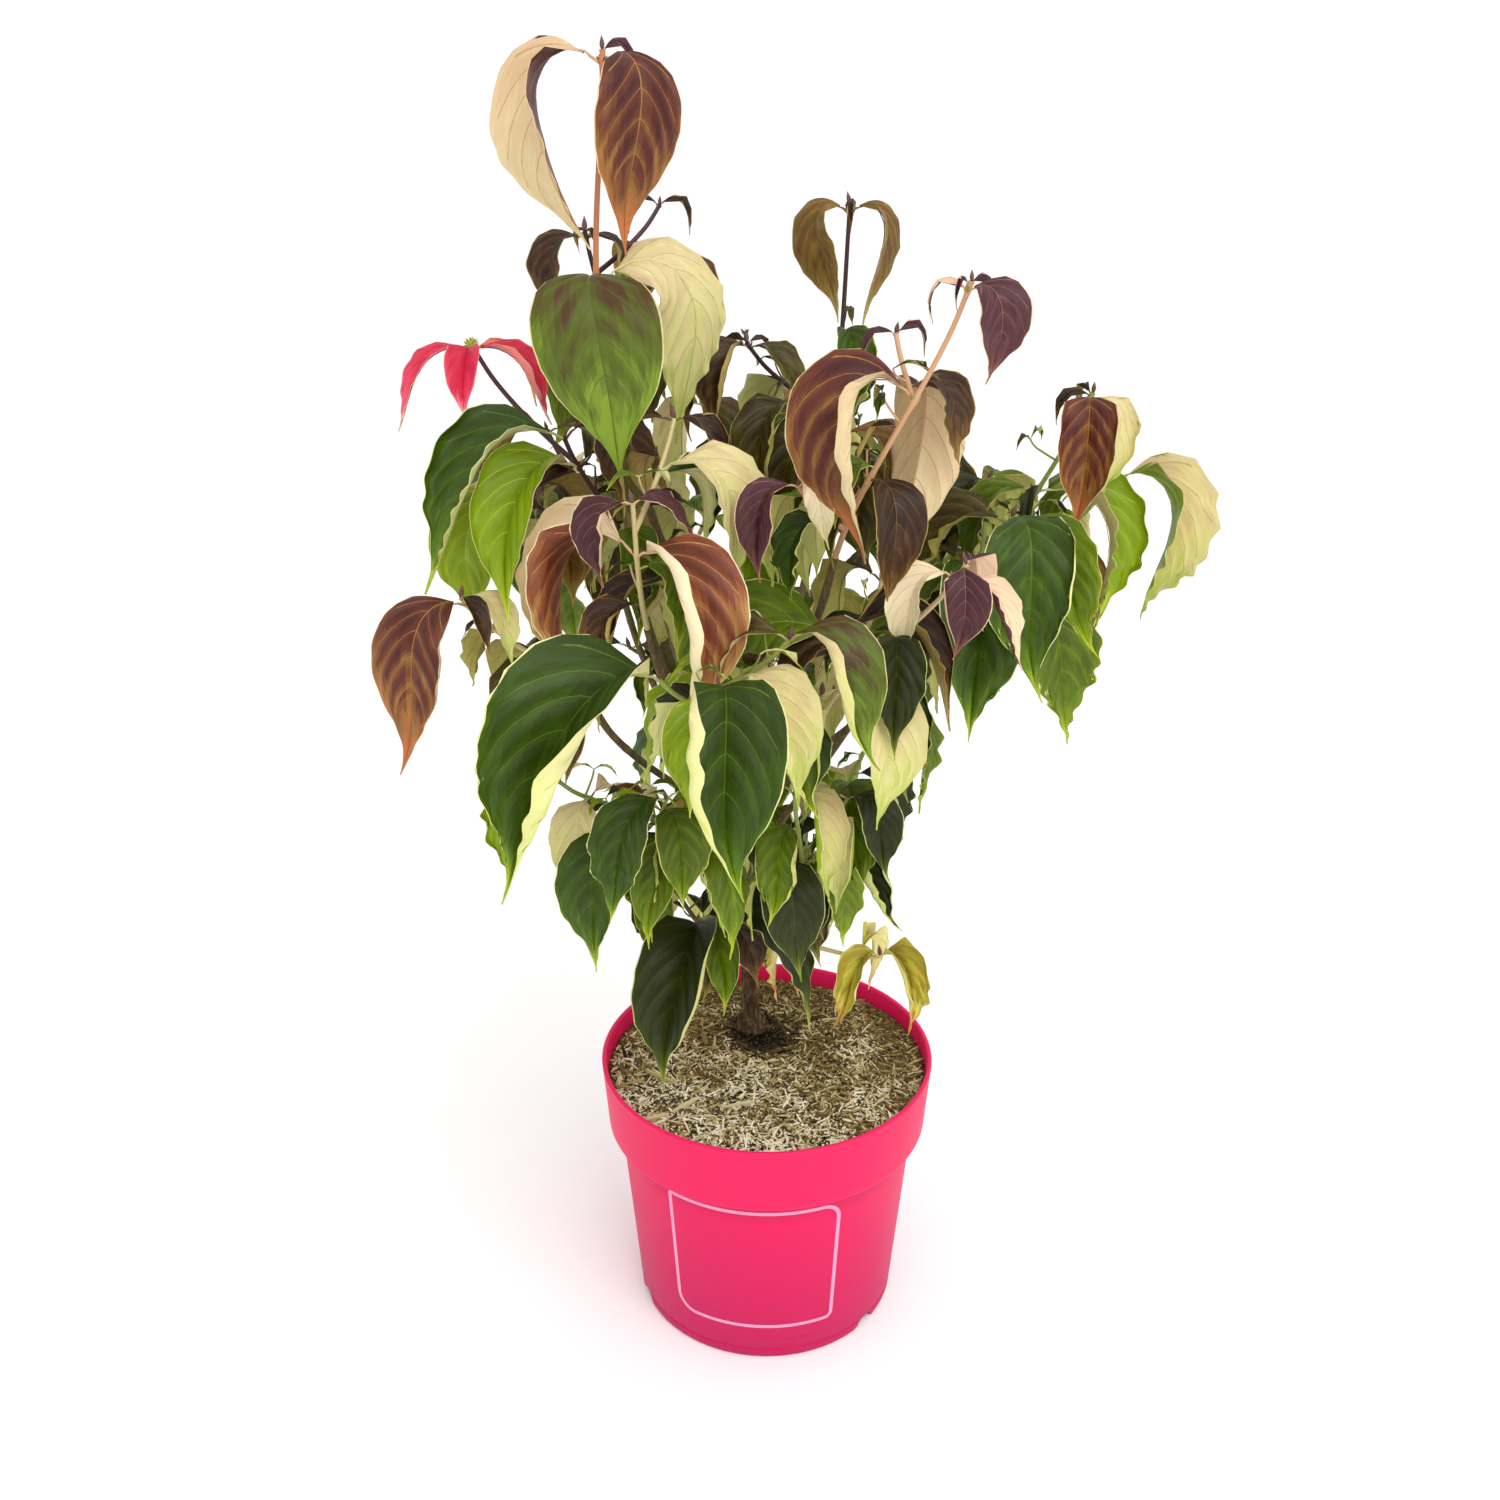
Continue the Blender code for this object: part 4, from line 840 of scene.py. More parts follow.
        Shoot((150, 60, 456), (Pair(1, 5, 185, 84),)),
    ), Rind.GREEN, BACK_MIX),
    "back_centre": Bough(309, (6, 108, 462), 2.1, (
        Shoot((14, 140, 540), (Pair(1, 100, 280, 84), Pair(0.6, 10, 190, 90))),
        Shoot((-38, 140, 530), (Pair(1, 130, 310, 86),)),
        Shoot((40, 160, 500), (Pair(1, 60, 240, 90),)),
    ), Rind.PURPLE, BACK_MIX),
    "back_low": Bough(258, (-18, 108, 358), 2.1, (
        Shoot((-50, 150, 430), (Pair(1, 120, -60, 90), Pair(0.6, 205, 25, 84))),
        Shoot((30, 150, 410), (Pair(1, 50, 230, 88), Pair(0.6, 130, -50, 80))),
        Shoot((-84, 104, 390), (Pair(1, 170, -10, 84),)),
        Shoot((70, 100, 390), (Pair(1, 20, 200, 84),)),
    ), Rind.OLIVE, BACK_MIX),
    "foot_back": Bough(239, (0, 66, 282), 1.7, (
        Shoot((16, 104, 340), (Pair(1, 80, 260, 80), Pair(0.5, 0, 180, 70)), False),
        Shoot((-50, 96, 330), (Pair(1, 150, -40, 78), Pair(0.5, 60, 240, 64)), False),
    ), Rind.OLIVE, (DEEP, GREEN, DARK)),
}

SLOTS = {
    "leaves_burgundy": ("leader", "front_left", "right"),
    "leaves_lime": ("far_right", "low_left", "low_right"),
    "leaves_bronze": ("left_low", "right_low", "back_left", "back_tall"),
    "leaves_withered": ("foot_right",),
}


@dataclass(frozen=True)
class Trunk:
    """The trunk's sizes: it leaves the growing medium upright, bows and tapers."""
    foot: Span = (-10.0, 38.0)
    ground: float = 160.0
    top: Spot = (-22.0, 20.0, 350.0)
    bow: Span = (2.5, 3.0)
    radius: float = 5.0
    top_radius: float = 2.9
    flare: float = 4.0
    flare_height: float = 9.0
    upright: float = 0.125
    rings: int = 11
    spacing: float = 1.4

    def axis(self, share: float) -> Vector:
        """The trunk's centre line.

        Args:
            share: A share of the trunk's height.

        Returns:
            The point there.
        """
        foot = Vector((*self.foot, self.ground + GAP))
        point = foot.lerp(Vector(self.top), share)
        bow = math.sin(math.pi * share)
        lean = min(1.0, share / self.upright)
        point.x = foot.x + (point.x - foot.x + self.bow[0] * bow) * lean
        point.y = foot.y + (point.y - foot.y + self.bow[1] * bow) * lean
        return point

    def thickness(self, share: float) -> float:
        """The radius at a share of the height, with the flare of the roots at the foot."""
        height = share * (self.top[2] - self.ground)
        flare = self.flare * math.exp(-height / self.flare_height)
        return self.radius + (self.top_radius - self.radius) * share + flare

    def path(self) -> Limb:
        """The centre line's points, closer at the foot, and their radii."""
        shares = [(i / (self.rings - 1)) ** self.spacing for i in range(self.rings)]
        return [self.axis(s) for s in shares], [self.thickness(s) for s in shares]


@dataclass(frozen=True)
class Habit:
    """How the shrub's limbs and shoots run, in sizes and shares of a reach."""
    stem_radius: float = 2.0
    shoot_radius: float = 1.8
    tip_taper: float = 0.8
    bough_steps: int = 6
    stem_steps: int = 6
    shoot_steps: int = 4
    handle: float = 0.3
    bough_spread: float = 0.8
    bough_rise: float = 0.8
    stem_rise: float = 0.5
    shoot_rise: float = 0.6
    shoot_spread: float = 0.4
    shoot_foot: float = 0.12
    shoot_seats: int = 14
    seat_step: float = 0.06
    climb: float = 0.55
    free: float = 6.0
    pair_step: float = 42.0
    fill_leaf: float = 84.0
    fill_from: float = 0.08

    def curve(self, start: Vector, heading: Vector, tip: Vector, rise: float,
              steps: int) -> list[Vector]:
        """A limb's points, along a heading at first and turning up to its tip by rise."""
        handle = (tip - start).length * self.handle
        ending = ((tip - start).normalized() + UP * rise).normalized()
        return bezier(start, start + heading * handle, tip - ending * handle, tip, steps)

    def bough(self, trunk: Trunk, bough: Bough) -> Limb:
        """A bough from the trunk's centre to its tip.

        Args:
            trunk: The trunk that it leaves.
            bough: Its sizes.

        Returns:
            The points and the radii.
        """
        tip = Vector(bough.tip)
        share = (bough.height - trunk.ground) / (trunk.top[2] - trunk.ground)
        if share >= 1:
            heading = (trunk.axis(1.0) - trunk.axis(0.9)).normalized()
            start = trunk.axis(1.0) + heading * GAP
        else:
            start = trunk.axis(share)
            outward = Vector((tip.x - start.x, tip.y - start.y, 0)).normalized()
            heading = (outward * self.bough_spread + UP).normalized()
        points = self.curve(start, heading, tip, self.bough_rise, self.bough_steps)
        return points, taper(points, bough.radius, self.stem_radius)

    def side_shoot(self, stem: Path, shoot: Shoot) -> list[Vector]:
        """A side shoot: it leaves the stem as high as it can and still rise.

        Args:
            stem: The stem that it leaves.
            shoot: Its tip.

        Returns:
            Its points.
        """
        tip = Vector(shoot.tip)
        start = along(stem, self.shoot_foot)
        for i in range(2, self.shoot_seats):
            point = along(stem, i * self.seat_step)
            run = Vector((tip.x - point.x, tip.y - point.y)).length
            if tip.z - point.z > self.climb * run + self.free:
                start = point
        outward = (tip - start).normalized()
        heading = (outward + Vector((outward.x, outward.y, 0)) * self.shoot_spread).normalized()
        return self.curve(start, heading, tip, self.shoot_rise, self.shoot_steps)

    def fill_pairs(self, shoot: Shoot, path: Path) -> list[Pair]:
        """Leaf pairs lower down, each a quarter turn from the one above.

        Args:
            shoot: The shoot.
            path: Its points.

        Returns:
            The pairs.
        """
        pairs: list[Pair] = []
        if shoot.fill and shoot.pairs:
            length = sum((b - a).length for a, b in zip(path, path[1:]))
            lowest = min(shoot.pairs, key=lambda pair: pair.at)
            at, turn = lowest.at - self.pair_step / length, lowest.near + 90
            while at >= self.fill_from:
                pairs.append(Pair(at, turn, turn + 180, self.fill_leaf))
                at, turn = at - self.pair_step / length, turn + 90
        return pairs

    def seats(self, shoot: Shoot, path: Path, stage: str) -> list[tuple[Pair, float, Coat | None]]:
        """The leaves of one stage of growth.

        Args:
            shoot: The shoot.
            path: Its points.
            stage: near, far or fill.

        Returns:
            Each leaf's pair, bearing and coat.
        """
        if stage == "fill":
            return [(p, b, None) for p in self.fill_pairs(shoot, path) for b in (p.near, p.far)]
        side = ("near", "far").index(stage)
        return [(p, (p.near, p.far)[side], p.coats[side] if p.coats else None)
                for p in shoot.pairs if (p.near, p.far)[side] is not None]


@dataclass(frozen=True)
class LeafHabit:
    """How leaves vary, and the room they keep."""
    turn: float = 5.0
    length: Span = (0.96, 1.04)
    aspect: Span = (0.4, 0.5)
    young_aspect: float = 0.34
    rise: Span = (15.0, 38.0)
    young_rise: float = 25.0
    hang: float = 6.0
    give: Span = (0.25, 0.34)
    young_give: float = 1.4
    curl: Span = (-15.0, 25.0)
    sway: float = 12.0
    lean: float = 6.0
    roll: float = 12.0
    light_bearing: float = -90.0
    light_turn: Span = (0.25, 0.6)
    light_reach: float = 125.0
    guard: float = 0.45
    tries: int = 24
    try_turn: float = 50.0
    try_rise: float = 20.0
    try_hang: Span = (-10.0, 40.0)
    try_sway: float = 25.0
    try_lean: float = 20.0
    try_length: float = 0.25
    try_aspect: float = 0.2
    rim_clear: float = 4.0
    root_offset: float = 0.45
    top_node: float = 0.985

    def light_roll(self, bearing: float) -> float:
        """The roll that would turn a hanging leaf on the lit side to the light."""
        away = (self.light_bearing - bearing + 180) % 360 - 180
        return -away if abs(away) < self.light_reach else 0.0


PETIOLE = 0.08
YOUNG_LEAF = 40.0
MIDRIB_STEPS = 24


def blade_shape(blade: float | Array) -> float | Array:
    """A blade's width at a share of its length, against its widest."""
    rise, fall = 0.85, 1.4
    peak = rise / (rise + fall)
    return blade ** rise * (1 - blade) ** fall / (peak ** rise * (1 - peak) ** fall)


@dataclass
class Leaf:
    """A leaf's place and bearing."""
    root: Vector
    bearing: float
    length: float
    aspect: float
    rise: float
    hang: float
    give: float
    curl: float
    sway: float
    lean: float
    roll: float
    coat: Coat
    seat: str

    def frames(self) -> list[tuple[Vector, Vector, Vector]]:
        """Points, sides and upper normals down the midrib, at even shares.

        Returns:
            One row for each step of the midrib.
        """
        point = self.root.copy()
        lean = math.radians(self.lean)
        rows = []
        for i in range(MIDRIB_STEPS + 1):
            share = i / MIDRIB_STEPS
            droop = math.exp(-((share / self.give) ** 1.6))
            lift = self.hang + (self.rise - self.hang) * droop
            lift += self.curl * max(0.0, (share - 0.7) / (1 - 0.7)) ** 1.5
            level = compass(self.bearing + self.sway * share)
            angle = math.radians(lift)
            across = Vector((-level.y, level.x, 0.0))
            upright = UP * math.cos(lean) - across * math.sin(lean)
            head = level * math.cos(angle) + upright * math.sin(angle)
            across = (across - head * across.dot(head)).normalized()
            roll = math.radians(self.roll) * min(1.0, 2 * share)
            side = across * math.cos(roll) + head.cross(across) * math.sin(roll)
            rows.append((point.copy(), side, head.cross(side)))
            point = point + head * (self.length / MIDRIB_STEPS)
        return rows

    def solid(self, extra: float = 0.0, first: int = 0) -> Solid:
        """The plain blade that stands for the leaf while the shrub grows.

        Args:
            extra: How much thicker and wider it is than the leaf.
            first: The row that it starts at.

        Returns:
            Its vertices and faces.
        """
        shares = ((0.0, 0.3, 0.7) if self.length < YOUNG_LEAF else
                  (0.0, 0.2, 0.46, 0.76) if self.length < 90.0 else (0.0, 0.16, 0.34, 0.58, 0.82))
        frames = self.frames()
        thick = max(1.2, self.length * 0.011) + 2 * extra
        rings = []
        for share in shares[first:]:
            point, side, normal = frames[round(share * MIDRIB_STEPS)]
            blade = (share - PETIOLE) / (1 - PETIOLE)
            width = self.aspect * self.length * blade_shape(blade) if 0 < blade < 1 else 0.0
            half = max(0.5 * width, 0.6) + extra
            edge = normal * thick * 0.4
            rings.append((point - side * half + edge, point - normal * thick * (1 - 0.4),
                          point + side * half + edge))
        return loft(rings, frames[-1][0])


@dataclass
class Mass:
    """What has grown on one bough: its own line, its shoots and its leaves."""
    bough: Limb
    shoots: list[tuple[Shoot, list[Vector], list[float]]] = field(default_factory=list)
    leaves: list[Leaf] = field(default_factory=list)
    bracts: list[Leaf] = field(default_factory=list)
    spurs: list[Limb] = field(default_factory=list)


Plan = dict[str, Mass]


@dataclass
class Crown:
    """Grows the shrub and keeps every piece clear of the others."""
    trunk: Trunk = Trunk()
    habit: Habit = Habit()
    leaf: LeafHabit = LeafHabit()
    limb_sides: int = 6
    twig_sides: int = 3
    pot_height: float = 168.0
    rim_radius: float = 100.0
    bare_above: float = 590.0
    inner_places: tuple[float, ...] = (0.22, 0.36, 0.5, 0.64)
    inner_length: Span = (46.0, 66.0)
    spur_places: tuple[float, ...] = (0.3, 0.52, 0.74)
    spur_reach: Span = (9.0, 17.0)
    spur_width: float = 0.34
    spur_leaf: Span = (18.0, 30.0)
    spur_guard: float = 0.3
    bract_sizes: tuple[Span, ...] = ((206, 64), (266, 52), (346, 62), (36, 56))
    taken: list = field(default_factory=list)

    def claim(self, name: str, solid: Solid) -> None:
        """Keep a piece's tree and its box, so that later pieces stay clear."""
        self.taken.append((name, BVHTree.FromPolygons(*solid), *box(solid[0])))

    def clear(self, solid: Solid, *own: str) -> bool:
        """Whether a solid touches no claimed piece.

        Args:
            solid: Vertices and faces.
            own: The names of pieces that it may touch.

        Returns:
            True when it is clear.
        """
        low, high = box(solid[0])
        tree = None
        for name, other, other_low, other_high in self.taken:
            if name in own or any(low[k] > other_high[k] or high[k] < other_low[k]
                                  for k in range(3)):
                continue
            tree = tree or BVHTree.FromPolygons(*solid)
            if tree.overlap(other):
                return False
        return True

    def above_pot(self, leaf: Leaf) -> bool:
        """Whether a leaf stays clear of the pot and what fills it.

        Args:
            leaf: The leaf.

        Returns:
            True when it is clear.
        """
        room = self.leaf.rim_clear
        return not any(
            point.z < room or (point.z < self.pot_height + room and
                               Vector((point.x, point.y)).length < self.rim_radius + room)
            for point, _, _ in leaf.frames()[4:])

    def place_leaf(self, name: str, seat: str, path: Path, bearing: float, pair: Pair,
                   hang: float, coat: Coat) -> Leaf | None:
        """Try a leaf, then a few turned and smaller ones.

        Args:
            name: The mass that it belongs to.
            seat: The seat's number, which seeds the draws.
            path: The shoot that it leaves.
            bearing: The way that it leaves.
            pair: The pair that it belongs to.
            hang: How steeply it hangs.
            coat: How it shows.

        Returns:
            The leaf, or None where no try is clear.
        """
        rng = seeded(name, seat)
        h = self.leaf
        root = along(path, min(pair.at, h.top_node)) + compass(bearing) * h.root_offset
        length = pair.length * (pair.share if bearing == pair.far else 1.0)
        young = length < YOUNG_LEAF
        base = Leaf(
            root, bearing + rng.uniform(-h.turn, h.turn),
            length * rng.uniform(*h.length),
            h.young_aspect if young else rng.uniform(*h.aspect),
            rng.uniform(*h.rise) + (h.young_rise if young else 0) + pair.lift,
            hang + pair.spread + rng.uniform(-h.hang, h.hang),
            rng.uniform(*h.give) * (h.young_give if young else 1) * pair.give,
            rng.uniform(*h.curl), rng.uniform(-h.sway, h.sway),
            pair.lean + rng.uniform(-h.lean, h.lean),
            h.light_roll(bearing) * rng.uniform(*h.light_turn) + rng.uniform(-h.roll, h.roll),
            coat, f"{name} {seat}")
        for attempt in range(h.tries):
            reach = attempt / h.tries
            leaf = replace(
                base, bearing=base.bearing + rng.uniform(-h.try_turn, h.try_turn) * reach,
                length=base.length * (1 - h.try_length * reach),
                aspect=base.aspect * (1 - h.try_aspect * reach),
                rise=base.rise + rng.uniform(-h.try_rise, h.try_rise) * reach,
                hang=base.hang + rng.uniform(*h.try_hang) * reach,
                sway=base.sway + rng.uniform(-h.try_sway, h.try_sway) * reach,
                lean=base.lean + rng.uniform(-h.try_lean, h.try_lean) * reach)
            if (self.above_pot(leaf) and self.clear(leaf.solid(h.guard, 1))
                    and self.clear(leaf.solid(h.guard), name)):
                self.claim(name, leaf.solid())
                return leaf
        return None

    def bloom(self, tip: Vector) -> list[Leaf]:
        """The four hanging bracts of the bloom.

        Args:
            tip: The tip of the shoot that bears it.

        Returns:
            The bracts.
        """
        return [Leaf(tip + compass(bearing) * self.leaf.root_offset - UP * 2.0, bearing, length,
                     0.5, 14.0, -82.0, 0.42, 14.0, 0.0, 0.0, 0.0,
                     Coat(Tint.BRACT_ORANGE if i == 3 else Tint.BRACT), f"bract {i}")
                for i, (bearing, length) in enumerate(self.bract_sizes)]

    def grow_shoots(self, name: str, bough: Bough, mass: Mass) -> None:
        """Grow a mass's stem and side shoots, and the bloom where it has one.

        Args:
            name: The mass.
            bough: Its sizes.
            mass: What takes the shoots.
        """
        habit, (before, tip) = self.habit, mass.bough[0][-2:]
        heading = (tip - before).normalized()
        stem = habit.curve(tip + heading * GAP, heading, Vector(bough.shoots[0].tip),
                           habit.stem_rise, habit.stem_steps)
        for i, shoot in enumerate(bough.shoots):
            path, lead, base = ((habit.side_shoot(stem, shoot), None, habit.shoot_radius) if i
                                else (stem, heading, habit.stem_radius))
            radii = taper(path, base, habit.shoot_radius * habit.tip_taper)
            guarded = tube(path, [r + self.leaf.guard for r in radii], self.twig_sides, lead)
            if not self.clear(guarded, name, *([] if i else ["bough_" + name])):
                continue
            self.claim(name, tube(path, radii, self.twig_sides, lead))
            mass.shoots.append((shoot, path, radii))
            for bract in self.bloom(path[-1]) if shoot.flower else ():
                self.claim(name, bract.solid())
                mass.bracts.append(bract)

    def grow(self) -> Plan:
        """Grow every limb, shoot and leaf, mass by mass.

        Returns:
            The masses by name.
        """
        self.claim("trunk", tube(*self.trunk.path(), self.limb_sides))
        plan: Plan = {}
        for name, bough in BOUGHS.items():
            points, radii = self.habit.bough(self.trunk, bough)
            self.claim("bough_" + name, tube(points[1:], radii[1:], self.limb_sides))
            plan[name] = Mass((points, radii))
        for name, bough in BOUGHS.items():
            self.grow_shoots(name, bough, plan[name])
        for stage in ("near", "far", "fill"):
            for name, mass in plan.items():
                for number, (shoot, path, _) in enumerate(mass.shoots):
                    seats = self.habit.seats(shoot, path, stage)
                    for count, (pair, bearing, coat) in enumerate(seats):
                        seat = f"{stage} {number} {count}"
                        leaf = self.place_leaf(name, seat, path, bearing, pair, shoot.hang,
                                               coat or self.own_coat(name, seat))
                        mass.leaves += [leaf] if leaf else []
        return plan

    def own_coat(self, name: str, seat: str) -> Coat:
        """A coat from the mass's own mix, dealt by the seat."""
        return seeded("coat", name, seat).choice(BOUGHS[name].mix)

    def grow_inner(self, plan: Plan) -> None:
        """Fill the crown with smaller leaves along the shoots, where there is room.

        Args:
            plan: The masses, which take the leaves.
        """
        for name, mass in plan.items():
            for number, (shoot, path, _) in enumerate(mass.shoots):
                rng = seeded("inner", name, number)
                for place in self.inner_places if not shoot.flower else ():
                    bearing = rng.uniform(0, 360)
                    coat = WITHERED if name == "foot_right" else rng.choice(INNER_MIX)
                    pair = Pair(place, bearing, None, rng.uniform(*self.inner_length))
                    if along(path, place).z <= self.bare_above:
                        leaf = self.place_leaf(name, f"inner {number} {place}", path, bearing,
                                               pair, shoot.hang, coat)
                        mass.leaves += [leaf] if leaf else []

    def grow_spurs(self, plan: Plan) -> None:
        """Grow fine side twigs with young leaves where there is room.

        Args:
            plan: The masses, which take the spurs.
        """
        for name, mass in plan.items():
            for number, (shoot, path, radii) in enumerate(mass.shoots):
                rng = seeded("spur", name, number)
                for place in self.spur_places if not shoot.flower else ():
                    start = along(path, place)
                    bearing = rng.uniform(0, 360)
                    reach = rng.uniform(*self.spur_reach)
                    if start.z > self.bare_above:
                        continue
                    way = (compass(bearing) + UP * rng.uniform(0.5, 1.3)).normalized()
                    tip = start + way * reach + UP * 2
                    line = bezier(start, start + way * reach * 0.4, tip - UP * 3, tip, 3)
                    width = radii[0] * self.spur_width
                    sizes = [width, width * 0.9, width * 0.8, width * 0.7]
                    if not self.clear(tube(line[1:], [s + self.spur_guard for s in sizes[1:]], 3)):
                        continue
                    leaves = self.young_leaves(name, f"spur {number} {place}", tip, rng)
                    if leaves:
                        self.claim(name, tube(line, sizes, 3))
                        mass.spurs.append((line, sizes))
                        mass.leaves.extend(leaves)

    def young_leaves(self, name: str, seat: str, tip: Vector, rng: random.Random) -> list[Leaf]:
        """The pair of young leaves at a fine twig's tip, where they have room.

        Args:
            name: The mass.
            seat: The seat's number.
            tip: The twig's tip.
            rng: What varies them.

        Returns:
            None, one or two leaves.
        """
        found = []
        first = rng.uniform(0, 360)
        size = rng.uniform(*self.spur_leaf)
        for k in range(2):
            leaf = Leaf(tip, first + 180 * k + rng.uniform(-15, 15), size * rng.uniform(0.8, 1),
                        0.38, rng.uniform(20, 50), rng.uniform(-80, -40), 0.45,
                        rng.uniform(-10, 30), rng.uniform(-20, 20), 0.0, rng.uniform(-20, 20),
                        self.own_coat(name, f"{seat} {k}"), f"{name} {seat} {k}")
            if self.clear(leaf.solid(self.spur_guard, 1)):
                self.claim(name, leaf.solid())
                found.append(leaf)
        return found


@dataclass(frozen=True)
class LeafDrawing:
    """How a leaf is drawn, in sizes, shares of the blade and angles."""
    veins: tuple[float, ...] = (0.05, 0.145, 0.26, 0.39, 0.54)
    vein_half: float = 0.0026
    arch: float = 0.95
    arch_power: float = 1.4
    thickness: float = 0.4
    midrib: float = 0.6
    groove: float = 0.5
    quilt: float = 1.0
    wave: Span = (0.8, 2.4)
    wave_length: Span = (11.0, 18.0)
    fold: Span = (10.0, 42.0)
    cup: Span = (-30.0, 6.0)
    bow: float = 0.045
    sweep: float = 0.075
    frill: float = 0.1
    frill_length: Span = (17.0, 27.0)
    rolled: float = 0.36
    roll: Span = (60.0, 140.0)
    open_roll: Span = (-10.0, 25.0)
    most_bend: float = 150.0
    bend_steps: int = 48
    stalk_radius: float = 0.75
    full_length: float = 110.0

    def rows(self, length: float) -> tuple[Array, Array, Array]:
        """Where a leaf's rows lie, with a thin cell along each vein.

        Args:
            length: The leaf's length.

        Returns:
            The rows' shares of the blade, then for each cell whether it is a vein
            and how far it lies from the nearest vein, from 0 to 1.
        """
        if length < YOUNG_LEAF:
            return np.linspace(0, 1, 10), np.zeros(9, bool), np.full(9, 0.6)
        between = 6 if length > 100 else 4 if length > 55 else 2
        cells: list[tuple[float, bool, float]] = []
        last = 0.0
        for mark in self.veins:
            steps = between if last else between // 2
            for i in range(steps):
                place = (i + 0.5) / steps
                cells.append((last + (mark - self.vein_half - last) * (i + 1) / steps, False,
                              1 - abs(2 * place - 1) if last else place * 0.6))
            last = mark + self.vein_half
            cells.append((last, True, 0.0))
        steps = between * 2 + 1
        cells += [(last + (1 - last) * (i + 1) / steps, False, 0.8 * (1 - (i + 0.5) / steps))
                  for i in range(steps)]
        shares, vein, apart = (np.array(column) for column in zip(*cells))
        return np.concatenate([[0.0], shares]), vein, apart

    def columns(self, length: float) -> Array:
        """Where a leaf's columns lie, past the midrib's own.

        Args:
            length: The leaf's length.

        Returns:
            Shares of the half width.
        """
        return np.array((0.0, 0.5, 1.0) if length < YOUNG_LEAF else
                        (0.0, 0.2, 0.42, 0.64, 0.84, 0.96, 1.0) if length < 70 else
                        (0.0, 0.12, 0.26, 0.42, 0.58, 0.74, 0.87, 0.976, 1.0) if length < 100 else
                        (0.0, 0.1, 0.21, 0.33, 0.46, 0.59, 0.71, 0.82, 0.91, 0.976, 1.0))


